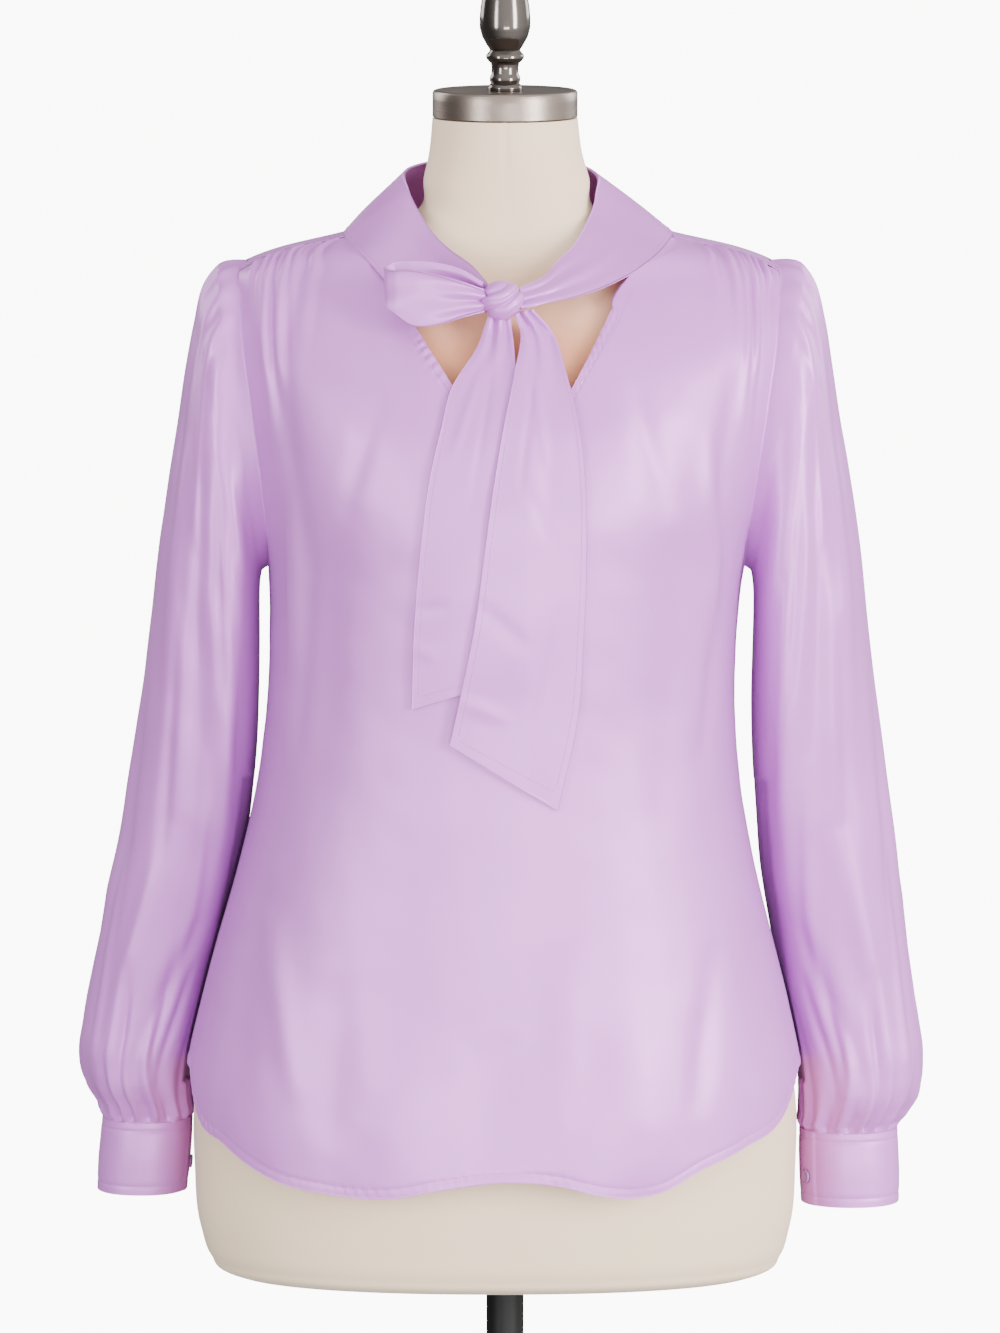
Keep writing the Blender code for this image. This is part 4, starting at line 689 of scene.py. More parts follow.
def panel_chart(stretches, edges, side):
    """A body panel's flat chart above the waist: levels, column shares, places on the chart, top edges."""
    columns = []
    start = 0.0
    for name, end, count in stretches:
        columns += [(start + (end - start) * i / count, name, i / count) for i in range(count)]
        start = end
    columns.append((1.0, stretches[-1][0], 1.0))
    dense = np.array([c[0] for c in columns])
    degrees, top_edges = edges
    ends = []
    for way in (-1, 1):
        hole = armhole(way, np.array(degrees, float), -EDGE_INSET)
        hole[0, 1] = side * EDGE_INSET
        seam_z = np.linspace(WAIST_Z, hole[0, 2], SIDE_SEAM_ROWS + 1)[:-1]
        seam = [section_point(z, (way + 1) / 2, side) for z in seam_z]
        ends.append(np.vstack([seam, hole]))
    left, right = ends
    levels = along(left).at
    top = np.array([top_edges[c[1]](c[2]) for c in columns])
    top[0], top[-1] = left[-1], right[-1]
    low, high, first, last = (
        np.array([chart_place(point, side) for point in line])
        for line in ([section_point(WAIST_Z, share, side) for share in dense], top, left, right)
    )
    across, up = dense[None, :, None], levels[:, None, None]
    grid = low[None] * (1 - up) + high[None] * up + first[:, None] * (1 - across) + last[:, None] * across
    corners = (low[0] * (1 - across) + low[-1] * across) * (1 - up)
    corners = corners + (high[0] * (1 - across) + high[-1] * across) * up
    return levels, dense, evened(grid - corners, levels, dense), top_edges


def off_knot(points):
    """Moves points that lie inside the knot, or nearer to it than its clearance, onto that clearance."""
    radii = KNOT_RADII + KNOT_CLEARANCE
    scaled = (points - KNOT_CENTRE) / radii
    size = np.linalg.norm(scaled, axis=1, keepdims=True)
    return np.where(size < 1, KNOT_CENTRE + scaled / size * radii, points)


def neck_seam():
    """The seam that the collar stands on, from the slit's left corner round to its right one."""
    edges = front_edges()[1]
    fine = np.linspace(0, 1, 60)
    around = along([(x, y, 0.0) for x, y in YOKE_NECK])(fine)
    around[:, 2] = height_at(around[:, 0], around[:, 1])
    left = edges["neck_left"](fine)
    right = edges["neck_right"](fine[::-1])
    return np.vstack([left[::-1], around, right])


def front_sheet_y(x, z):
    """y of the middle of the front's cloth, with its folds."""
    return depth_at(x, z, -1) - fold_heights(FRONT_FOLDS, x, z)


def head_wave(share_round, t):
    """The gathers at a sleeve's head: t is the share of the sleeve's length."""
    spread = HEAD_SPREAD_DEGREES / 360
    place = (share_round + 0.5) % 1.0 - 0.5
    inside = np.abs(place) < spread
    wave = np.cos(np.pi * HEAD_GATHERS * place / spread) * np.cos(np.pi * place / spread / 2)
    rise = min(1.0, 0.25 + t / 0.03)
    fade = max(0.0, 1 - t / 0.20) ** 1.5
    return np.where(inside, wave * rise * fade * HEAD_GATHER_HEIGHT, 0)


def cuff_point(cuff, degrees, share, out=0.0):
    """A point of a cuff's middle surface, moved out: share 0 is its top edge and 1 its lower edge."""
    top_x, top_z, low_x, low_z, half_width, half_depth, centre_y = cuff
    side = 1 if top_x > 0 else -1
    wide, deep = full_section(np.radians(degrees))
    x = top_x + (low_x - top_x) * share + side * (half_width + out) * wide
    z = top_z + (low_z - top_z) * share
    return np.stack([x, centre_y - (half_depth + out) * deep, z + 0 * wide], -1)


# What the scene adds to the solids' forms

# Fine columns for each stretch of the front's and the back's top edge
FINE_COLUMNS = {
    "yoke_left": 70,
    "neck_left": 16,
    "slit_left": 62,
    "slit_right": 66,
    "neck_right": 12,
    "yoke_right": 78,
    "yoke": 170,
}

# Fine rows between two levels of the chart, and from its last level to the top edge
ROWS_BETWEEN_LEVELS = 5
ROWS_NEAR_TOP = 18

# The sewing line's distance from an edge, and the distances of the fine rows above the hem
STITCH_FROM_EDGE = 0.0070
EDGE_STEPS = (0.0, 0.0010, 0.0026, 0.0045, 0.0060, 0.0070, 0.0080, 0.0098, 0.0128, 0.0170, 0.0225)

# Gathers below the yoke: share of the seam from the collar, half width, depth, how far down they run
GATHERS = {
    "yoke_left": (
        (0.10, 0.0034, 0.0011, 0.060),
        (0.24, 0.0025, 0.0019, 0.038),
        (0.31, 0.0026, 0.0023, 0.055),
        (0.39, 0.0027, 0.0027, 0.090),
        (0.48, 0.0025, 0.0024, 0.058),
        (0.57, 0.0028, 0.0029, 0.120),
        (0.66, 0.0029, 0.0026, 0.072),
        (0.79, 0.0036, 0.0018, 0.050),
    ),
    "yoke_right": (
        (0.22, 0.0036, 0.0012, 0.060),
        (0.40, 0.0027, 0.0025, 0.066),
        (0.455, 0.0025, 0.0022, 0.045),
        (0.51, 0.0027, 0.0028, 0.115),
        (0.57, 0.0026, 0.0025, 0.062),
        (0.635, 0.0029, 0.0029, 0.135),
        (0.71, 0.0029, 0.0026, 0.080),
        (0.82, 0.0036, 0.0018, 0.060),
    ),
}
YOKE_SEAM_LENGTH = {"yoke_left": 0.083, "yoke_right": 0.100}

# Drag lines and soft troughs of the front: x and z at the top, x and z at the bottom, half width, height
FRONT_CREASES = (
    (-0.1620, 1.2900, -0.1380, 1.1350, 0.0070, -0.0016),
    (-0.1500, 1.2200, -0.1460, 1.0500, 0.0060, 0.0016),
    (-0.1360, 1.1600, -0.1480, 1.0000, 0.0050, -0.0012),
    (0.1640, 1.2900, 0.1420, 1.1300, 0.0070, -0.0016),
    (0.1440, 1.2500, 0.1500, 1.0700, 0.0065, 0.0022),
    (0.1560, 1.1800, 0.1400, 0.9900, 0.0060, -0.0018),
    (0.0900, 1.2800, 0.1180, 1.1800, 0.0080, -0.0010),
    (-0.0900, 1.2700, -0.1150, 1.1800, 0.0080, -0.0010),
    (-0.1700, 0.9000, -0.1480, 0.7600, 0.0090, 0.0014),
    (0.1500, 0.8800, 0.1350, 0.7500, 0.0090, -0.0014),
    (-0.1200, 0.8600, -0.1250, 0.7300, 0.0160, -0.0014),
    (0.0420, 0.8800, 0.0450, 0.7100, 0.0150, 0.0016),
)

# The back's, with the same columns
BACK_CREASES = (
    (-0.1600, 1.2500, -0.1300, 1.1000, 0.0070, -0.0018),
    (-0.1250, 1.1900, -0.1400, 1.0100, 0.0065, 0.0018),
    (0.1550, 1.2500, 0.1300, 1.0900, 0.0070, -0.0018),
    (0.1180, 1.1900, 0.1320, 1.0000, 0.0065, 0.0018),
    (-0.0620, 1.2300, -0.0700, 1.0600, 0.0080, -0.0012),
    (0.0080, 1.2500, 0.0000, 1.0900, 0.0085, 0.0014),
    (0.0600, 1.2300, 0.0640, 1.0700, 0.0080, -0.0012),
    (-0.0900, 0.9000, -0.1000, 0.7200, 0.0110, -0.0016),
    (0.0850, 0.9000, 0.0980, 0.7200, 0.0110, -0.0018),
    (0.0050, 0.8800, 0.0100, 0.7000, 0.0120, 0.0016),
)

# Finer creases of the sleeves, with the columns of the sleeves' folds
SLEEVE_CREASES = (
    (22.0, 0.02, 40.0, 0.30, 0.0060, -0.0022),
    (48.0, 0.03, 70.0, 0.26, 0.0055, 0.0020),
    (84.0, 0.10, 112.0, 0.42, 0.0065, -0.0022),
    (58.0, 0.36, 82.0, 0.74, 0.0070, -0.0018),
    (98.0, 0.50, 116.0, 0.88, 0.0065, 0.0018),
    (30.0, 0.66, 50.0, 0.95, 0.0060, 0.0020),
    (70.0, 0.80, 84.0, 0.97, 0.0050, -0.0022),
    (104.0, 0.84, 92.0, 0.98, 0.0048, 0.0018),
    (128.0, 0.80, 112.0, 0.97, 0.0055, -0.0018),
    (2.0, 0.74, 18.0, 0.96, 0.0055, -0.0020),
    (240.0, 0.06, 262.0, 0.40, 0.0070, 0.0020),
    (290.0, 0.05, 300.0, 0.36, 0.0065, -0.0022),
    (322.0, 0.30, 338.0, 0.70, 0.0070, 0.0018),
    (210.0, 0.50, 226.0, 0.90, 0.0075, -0.0018),
    (270.0, 0.72, 258.0, 0.97, 0.0060, 0.0020),
    (300.0, 0.78, 288.0, 0.97, 0.0055, -0.0020),
)

# The satin's wall, how far the knot's folds stand out, and the ledge of the yoke over its front seams
SATIN_WALL = 0.0009
KNOT_COVER = 0.0017
YOKE_LEDGE = 0.0011

# How much deeper than in their tables the creases and the gathers are
CREASE_DEPTH = 1.9
GATHER_DEPTH = 1.9

# How far one piece reaches under another at a seam, the sewing thread and the puckers along it
SEWN_INSET = 0.0003
THREAD_RADIUS = 0.00022
STITCH_LENGTH = 0.0018
STITCH_STEP = 0.0026
HEM_PUCKER = 0.0005
SLIT_PUCKER = 0.0013
PUCKER_SPACING = 0.0078

# Points round a sleeve and round a cuff, and how softly a tail meets what it rests on
SLEEVE_POINTS = 208
CUFF_POINTS = 200
TAIL_SOFTNESS = 0.006

# Creases of the tails, with the columns of the front's creases
LONG_TAIL_CREASES = (
    (-0.0260, 1.1300, 0.0200, 1.0900, 0.0075, -0.0007),
    (0.0080, 1.2200, 0.0380, 1.1600, 0.0050, -0.0006),
    (-0.0340, 1.0560, 0.0060, 1.0400, 0.0055, 0.0006),
    (0.0420, 1.1300, 0.0150, 1.0000, 0.0050, -0.0006),
    (0.0160, 1.3150, 0.0300, 1.2200, 0.0035, 0.0012),
    (0.0240, 1.3150, 0.0100, 1.2000, 0.0030, -0.0010),
)
SHORT_TAIL_CREASES = (
    (-0.0660, 1.1180, -0.0380, 1.1240, 0.0050, -0.0007),
    (-0.0670, 1.0950, -0.0460, 1.0840, 0.0050, 0.0006),
    (-0.0100, 1.3100, -0.0400, 1.2200, 0.0035, 0.0012),
    (-0.0060, 1.3100, -0.0240, 1.1900, 0.0030, -0.0010),
)

# Heights of the slow unevenness of the cloth, how often it turns, and where it starts: front, back
PANEL_DRIFTS = ((0.00045, 34.0, 1.0, 4.0), (0.00030, 95.0, 7.0, 9.0))
YOKE_DRIFT = 0.0004
SLEEVE_DRIFT = 0.0009

# Rough sizes over which that unevenness is laid
SLEEVE_LENGTH = 0.62
CUFF_HEIGHT = 0.054
CUFF_GIRTH = 0.24

# The share of a panel's width that lies flat at the side seam, and of the slit where its puckers set in
SIDE_SEAM_CALM = 0.012
SLIT_CALM = 0.035

# The satin's sheen
SATIN_SHEEN = {
    "Sheen Weight": 0.08,
    "Sheen Roughness": 0.45,
    "Sheen Tint": (0.90, 0.72, 0.95, 1.0),
    "Anisotropic": 0.65,
    "Anisotropic Rotation": 0.0,
    "Specular IOR Level": 0.65,
    "Specular Tint": (0.97, 0.86, 1.0, 1.0),
    "Metallic": 0.18,
    "IOR": 1.48,
}

# Heights between which the form's cloth takes a painted warm tone of bounced light in its shade, and turns
# back
BOUNCE_LIGHT_FROM_Z = 1.10
BOUNCE_LIGHT_TO_Z = 1.40

# The camera looks down a little from far away
CAMERA_AIM = (-0.0036, 0.0, 1.0600)
CAMERA_DISTANCE = 8.0
CAMERA_TILT = 7.0
CAMERA_LENS = 300
FLOOR_HALF_SIZE = 60.0

# The sky's colour, the glow of the floor and how bright the sky looks behind the object
WORLD_COLOUR = (1.0, 0.985, 0.98, 1.0)
FLOOR_GLOW = 9.0
SKY_SHOWN = 9.5

# The side of the sky that is brightest, and its lowest and highest brightness
WORLD_BRIGHT_SIDE = (0.55, -0.66, 0.51)
WORLD_STRENGTHS = (0.22, 2.1)

# The lights: name, place, what they aim at, size, power, colour
LIGHTS = (
    ("key", (3.2, -3.0, 1.6), (0, 0, 1.0), (1.0, 2.4), 300.0, (1.0, 0.985, 0.97)),
    ("fill", (-3.2, -3.8, 1.5), (0, 0, 1.0), (0.9, 2.4), 150.0, (0.97, 0.98, 1.0)),
    ("low", (0.6, -4.6, 0.30), (0, 0, 0.80), (1.8, 0.5), 85.0, (1.0, 0.98, 0.97)),
    ("window", (-2.6, 2.2, 2.4), (0, 0, 1.1), (1.6, 2.0), 60.0, (1.0, 0.98, 0.96)),
    ("rim", (2.8, 2.4, 2.2), (0, 0, 1.1), (1.6, 1.6), 60.0, (1.0, 0.98, 0.98)),
)


def drift(u, v, scale, seed):
    """A gentle uneven surface between -1 and 1, from a few waves with no common direction."""
    total = np.zeros(np.broadcast(u, v).shape)
    for k in range(5):
        turn = 2.399963 * (k + 1) + seed
        size = scale * (1 + 0.37 * k)
        total = total + np.sin((u * math.cos(turn) + v * math.sin(turn)) * size + 1.7 * seed + 2.1 * k)
    return total / 5


def grid_normals(grid, closed):
    """Directions square to a grid of points."""
    if closed:
        over = np.roll(grid, -1, axis=1) - np.roll(grid, 1, axis=1)
    else:
        over = np.gradient(grid, axis=1)
    up = np.gradient(grid, axis=0)
    normals = np.cross(over, up)
    return normals / np.maximum(np.linalg.norm(normals, axis=2, keepdims=True), 1e-12)


def grid_area(grid, closed):
    """The area of one face of a sheet, in square metres."""
    if closed:
        grid = np.concatenate([grid, grid[:, :1]], axis=1)
    a = grid[1:, 1:] - grid[:-1, :-1]
    b = grid[1:, :-1] - grid[:-1, 1:]
    return float(np.linalg.norm(np.cross(a, b), axis=2).sum() / 2)


def linear(colour):
    """A colour of 0 to 255 as the renderer's own values."""
    return [((c / 255 + 0.055) / 1.055) ** 2.4 for c in colour]


def barrel_faces(rows, columns, inward=False):
    """Faces round rows of points, with a cap on the first row and one on the last."""
    ids = np.arange(rows * columns).reshape(rows, columns)
    ids = np.concatenate([ids, ids[:, :1]], axis=1)
    quads = np.stack([ids[:-1, :-1], ids[:-1, 1:], ids[1:, 1:], ids[1:, :-1]], -1).reshape(-1, 4)
    faces = quads.tolist() + [ids[0, -2::-1].tolist(), ids[-1, :-1].tolist()]
    return [face[::-1] for face in faces] if inward else faces


def new_piece(name, points, faces, look, node=None, uv=None):
    """A piece on the root body, with its material and, if it stands for one, its CAD node."""
    mesh = bpy.data.meshes.new(name)
    mesh.from_pydata(points.tolist(), [], faces.tolist() if hasattr(faces, "tolist") else faces)
    if uv is not None:
        layer = mesh.uv_layers.new(name="UVMap")
        corner = np.zeros(len(mesh.loops), dtype=np.int32)
        mesh.loops.foreach_get("vertex_index", corner)
        layer.data.foreach_set("uv", uv[corner].astype(np.float32).ravel())
    mesh.shade_smooth()
    piece = bpy.data.objects.new(name, mesh)
    mesh.materials.append(look)
    bpy.context.scene.collection.objects.link(piece)
    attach(piece, "root")
    if node:
        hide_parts(node)
    return piece


def shell(name, grid, wall, look, node, closed=False, flip=False):
    """A thin wall on a grid of points, with an outer face, an inner face and rims."""
    rows, columns = grid.shape[:2]
    normals = grid_normals(grid, closed) * (-1 if flip else 1)
    outer = grid + normals * wall / 2
    inner = grid - normals * wall / 2
    points = np.concatenate([outer.reshape(-1, 3), inner.reshape(-1, 3)])
    ids = np.arange(rows * columns).reshape(rows, columns)
    if closed:
        ids = np.concatenate([ids, ids[:, :1]], axis=1)
    a, b, c, d = ids[:-1, :-1], ids[:-1, 1:], ids[1:, 1:], ids[1:, :-1]
    quads = np.stack([a, b, c, d], -1).reshape(-1, 4)
    if flip:
        quads = quads[:, ::-1]
    count = rows * columns
    edges = [ids[0, ::-1], ids[-1]]
    if not closed:
        edges += [ids[:, 0], ids[::-1, -1]]
    rims = []
    for line in edges:
        if flip:
            line = line[::-1]
        rims.append(np.stack([line[1:], line[:-1], line[:-1] + count, line[1:] + count], -1))
    faces = np.concatenate([quads, quads[:, ::-1] + count, *rims])
    along_row = np.linalg.norm(np.diff(grid, axis=1), axis=2).mean(axis=0)
    along_column = np.linalg.norm(np.diff(grid, axis=0), axis=2).mean(axis=1)
    u = np.concatenate([[0], np.cumsum(along_row)])
    v = np.concatenate([[0], np.cumsum(along_column)])
    uv = np.stack(np.broadcast_arrays(u[None, :columns], v[:, None]), -1).reshape(-1, 2)
    piece = new_piece(name, points, faces, look, node, np.concatenate([uv, uv]))
    piece["area"] = grid_area(grid, closed)
    return piece


def stitches(name, lines, look, step=STITCH_STEP, length=STITCH_LENGTH, radius=THREAD_RADIUS):
    """Sewing along lines of (points, outward directions): short threads half sunk in the cloth."""
    ring = np.linspace(0, 2 * np.pi, 6, endpoint=False)
    points, faces = [], []
    for line, normals in lines:
        line, normals = np.asarray(line, float), np.asarray(normals, float)
        run = lengths(line)
        starts = np.arange(step / 2, run[-1] - length, step)
        for start in starts:
            places = start + length * np.array([0.0, 0.22, 0.78, 1.0])
            centre = np.column_stack([np.interp(places, run, line[:, k]) for k in range(3)])
            out = np.array([np.interp(start + length / 2, run, normals[:, k]) for k in range(3)])
            out /= np.linalg.norm(out)
            way = centre[-1] - centre[0]
            way /= np.linalg.norm(way)
            side = np.cross(way, out)
            first = len(points)
            for k, (size, rise) in enumerate(((0.45, -0.4), (1.0, 0.5), (1.0, 0.5), (0.45, -0.4))):
                for turn in ring:
                    away = (math.cos(turn) * side + math.sin(turn) * out) * radius * size
                    points.append(centre[k] + out * radius * rise + away)
            for k in range(3):
                for j in range(6):
                    m = (j + 1) % 6
                    a, b = first + 6 * k + j, first + 6 * k + m
                    faces.append((a, b, b + 6, a + 6))
            faces.append(tuple(first + 5 - j for j in range(6)))
            faces.append(tuple(first + 18 + j for j in range(6)))
    return new_piece(name, np.array(points), faces, look)


def new_look(name, slot_name):
    """A material with its slot's name: the material, its nodes, its links and its shader."""
    look = bpy.data.materials.new(name)
    look["slot"] = slot_name
    look.use_nodes = True
    nodes = look.node_tree.nodes
    return look, nodes, look.node_tree.links, nodes["Principled BSDF"]


def set_inputs(node, values):
    """Gives a node's sockets their values and returns the node."""
    for name, value in values.items():
        node.inputs[name].default_value = value
    return node


def satin(name, slot_name, colour, roughness):
    """Satin: a soft sheen that runs along the yarns, slightly uneven in colour, with a very fine weave."""
    look, nodes, links, shader = new_look(name, slot_name)
    set_inputs(shader, SATIN_SHEEN)
    place = nodes.new("ShaderNodeTexCoord")
    tangent = nodes.new("ShaderNodeTangent")
    tangent.direction_type = "UV_MAP"
    tangent.uv_map = "UVMap"
    links.new(tangent.outputs["Tangent"], shader.inputs["Tangent"])

    cloudy = set_inputs(nodes.new("ShaderNodeTexNoise"), {"Scale": 9.0, "Detail": 3.0})
    links.new(place.outputs["Object"], cloudy.inputs["Vector"])
    tones = nodes.new("ShaderNodeValToRGB")
    base = np.array(linear(colour))
    tones.color_ramp.elements[0].position = 0.30
    tones.color_ramp.elements[0].color = (*(base * 0.95), 1.0)
    tones.color_ramp.elements[1].position = 0.72
    tones.color_ramp.elements[1].color = (*np.minimum(base * 1.04, 1), 1.0)
    links.new(cloudy.outputs["Fac"], tones.inputs["Fac"])
    links.new(tones.outputs["Color"], shader.inputs["Base Color"])

    stretched = set_inputs(nodes.new("ShaderNodeMapping"), {"Scale": (2600.0, 260.0, 1.0)})
    links.new(place.outputs["UV"], stretched.inputs["Vector"])
    yarns = set_inputs(nodes.new("ShaderNodeTexNoise"), {"Scale": 1.0, "Detail": 2.0})
    links.new(stretched.outputs["Vector"], yarns.inputs["Vector"])
    ends = {"To Min": roughness - 0.05, "To Max": roughness + 0.05}
    rough = set_inputs(nodes.new("ShaderNodeMapRange"), ends)
    links.new(yarns.outputs["Fac"], rough.inputs["Value"])
    links.new(rough.outputs["Result"], shader.inputs["Roughness"])

    soft = set_inputs(nodes.new("ShaderNodeTexNoise"), {"Scale": 70.0, "Detail": 2.0})
    links.new(place.outputs["Object"], soft.inputs["Vector"])
    slack = set_inputs(nodes.new("ShaderNodeBump"), {"Strength": 0.10, "Distance": 0.0012})
    links.new(soft.outputs["Fac"], slack.inputs["Height"])
    weave = set_inputs(nodes.new("ShaderNodeBump"), {"Strength": 0.18, "Distance": 0.0001})
    links.new(yarns.outputs["Fac"], weave.inputs["Height"])
    links.new(slack.outputs["Normal"], weave.inputs["Normal"])
    links.new(weave.outputs["Normal"], shader.inputs["Normal"])
    return look


def paint_neckline_bounce_light(look, colour, bounce_light_colour):
    """Paints a warm tone of bounced light into the form's cloth where it lies in shade inside the neckline.
    """
    nodes, links = look.node_tree.nodes, look.node_tree.links
    place = nodes.new("ShaderNodeTexCoord")
    parts = nodes.new("ShaderNodeSeparateXYZ")
    links.new(place.outputs["Object"], parts.inputs["Vector"])
    spread = set_inputs(nodes.new("ShaderNodeMapRange"), {"From Min": BOUNCE_LIGHT_FROM_Z, "From Max": BOUNCE_LIGHT_TO_Z})
    links.new(parts.outputs["Z"], spread.inputs["Value"])
    ramp = nodes.new("ShaderNodeValToRGB")
    links.new(spread.outputs["Result"], ramp.inputs["Fac"])
    # The second colour is a painted warm tone of bounced light in the shade inside the neckline
    plain, painted_bounce_tone = (*linear(colour), 1.0), (*linear(bounce_light_colour), 1.0)
    stops = ramp.color_ramp.elements
    stops[0].position, stops[0].color = 0.05, plain
    stops[1].position, stops[1].color = 0.35, painted_bounce_tone
    stops.new(0.66).color = painted_bounce_tone
    stops.new(0.90).color = plain
    links.new(ramp.outputs["Color"], nodes["Principled BSDF"].inputs["Base Color"])


def plain_look(name, slot_name, colour, roughness, metallic=0.0, grain=None, sheen=0.0):
    """A plain finish, with a fine grain of (scale, strength) if it has one."""
    look, nodes, links, shader = new_look(name, slot_name)
    finish = {"Base Color": (*linear(colour), 1.0), "Roughness": roughness}
    set_inputs(shader, finish | {"Metallic": metallic, "Sheen Weight": sheen})
    if grain:
        scale, strength = grain
        place = nodes.new("ShaderNodeTexCoord")
        mapping = set_inputs(nodes.new("ShaderNodeMapping"), {"Scale": scale})
        noise = set_inputs(nodes.new("ShaderNodeTexNoise"), {"Scale": 1.0, "Detail": 3.0})
        bump = set_inputs(nodes.new("ShaderNodeBump"), {"Strength": strength, "Distance": 0.0003})
        links.new(place.outputs["Object"], mapping.inputs["Vector"])
        links.new(mapping.outputs["Vector"], noise.inputs["Vector"])
        links.new(noise.outputs["Fac"], bump.inputs["Height"])
        links.new(bump.outputs["Normal"], shader.inputs["Normal"])
        ends = {"To Min": max(roughness - 0.06, 0.05), "To Max": roughness + 0.08}
        spread = set_inputs(nodes.new("ShaderNodeMapRange"), ends)
        links.new(noise.outputs["Fac"], spread.inputs["Value"])
        links.new(spread.outputs["Result"], shader.inputs["Roughness"])
    return look


def fine_shares(stretches):
    """Column shares of a fine panel, and the stretch and place on it of each."""
    found = []
    start = 0.0
    for name, end, _ in stretches:
        count = FINE_COLUMNS[name]
        for i in range(count):
            found.append((start + (end - start) * i / count, name, i / count))
        start = end
    found.append((1.0, stretches[-1][0], 1.0))
    return found


def spread_out(grid, places, fine):
    """Values of a grid at finer places along its first axis."""
    flat = grid.reshape(len(places), -1)
    table = Table(np.column_stack([places, flat]).tolist())
    return table(fine).reshape((len(fine),) + grid.shape[1:])


def fine_panel(stretches, edges, hem, side):
    """A body panel's fine grid from hem to top.

    It returns the points, the columns' shares, each row's rough distance below the top edge
    and the number of rows below the waist.
    """
    columns = fine_shares(stretches)
    shares = np.array([c[0] for c in columns])
    levels, dense, chart, top_edges = panel_chart(stretches, edges, side)
    last = len(levels) - 1
    steps = np.linspace(0, last - 1, ROWS_BETWEEN_LEVELS * (last - 1) + 1)
    steps = np.concatenate([steps, last - 1 + np.linspace(0, 1, ROWS_NEAR_TOP + 1)[1:]])
    fine_levels = np.interp(steps, np.arange(len(levels)), levels)
    chart = spread_out(chart, levels, fine_levels)
    chart = np.moveaxis(spread_out(np.moveaxis(chart, 1, 0), dense, shares), 0, 1)
    heights = np.interp(chart[..., 1], CHART_UP, CHART_Z)
    across = np.clip(chart[..., 0] / CHART_WIDTH, 0, 1)
    upper = np.array(
        [section_point(z, u, side) for z, u in zip(heights.ravel(), across.ravel())]
    ).reshape(chart.shape[:2] + (3,))
    upper[-1] = [top_edges[c[1]](c[2]) for c in columns]

    hem_line = Table(hem)
    hem_z = np.array([float(hem_line(section_point(0.72, u, side)[0])[0]) for u in shares])
    run = WAIST_Z - hem_z.mean()
    steps = np.array([*EDGE_STEPS, *np.linspace(EDGE_STEPS[-1], run, 48)[1:-1]]) / run
    lower = []
    for f in steps:
        lower.append([section_point(z0 + (WAIST_Z - z0) * f, u, side) for z0, u in zip(hem_z, shares)])
    points = np.concatenate([np.array(lower), upper])
    points[:, 0, 1] = np.where(points[:, 0, 2] < 1.13, side * EDGE_INSET, points[:, 0, 1])
    points[:, -1, 1] = np.where(points[:, -1, 2] < 1.13, side * EDGE_INSET, points[:, -1, 1])
    below_top = np.concatenate([np.full(len(lower), 0.5), (1 - fine_levels) * 0.33])
    return points, shares, below_top, len(lower)


def gather_heights(stretches, shares, below_top):
    """The gathers below the yoke's front seams, each with its own length and depth."""
    total = np.zeros((len(below_top), len(shares)))
    start = 0.0
    for name, end, _ in stretches:
        share = (shares - start) / (end - start)
        for place, half_width, height, reach in GATHERS.get(name, ()):
            if name == "yoke_left":
                place = 1 - place
            down = np.clip(below_top / reach, 0, 1)[:, None]
            width = half_width * (1 + 2.2 * down)
            away = (share[None, :] - place) * YOKE_SEAM_LENGTH[name] + 0.010 * down * (place - 0.5)
            fade = (1 - down) ** 1.2 * np.clip(0.45 + below_top / 0.006, 0, 1)[:, None]
            near = np.exp(-((away / width) ** 2)) - 0.6 * np.exp(-(((away - 1.6 * width) / width) ** 2))
            near = near * ((share > -0.02) & (share < 1.02))[None, :]
            total += GATHER_DEPTH * height * fade * near
        start = end
    return total


def edge_ripple(distance, run, height, seed):
    """Puckers along a stitched edge: a groove on the sewing line and small uneven waves."""
    groove = -0.0003 * np.exp(-(((distance - STITCH_FROM_EDGE) / 0.0012) ** 2))
    phase = (run + 0.5 * distance) * 2 * np.pi / PUCKER_SPACING + 1.6 * np.sin(run * 57 + seed)
    uneven = 0.65 + 0.35 * np.sin(run * 83 + 2 * seed)
    return groove + height * uneven * np.sin(phase) * np.exp(-(((distance - 0.0045) / 0.0045) ** 2))


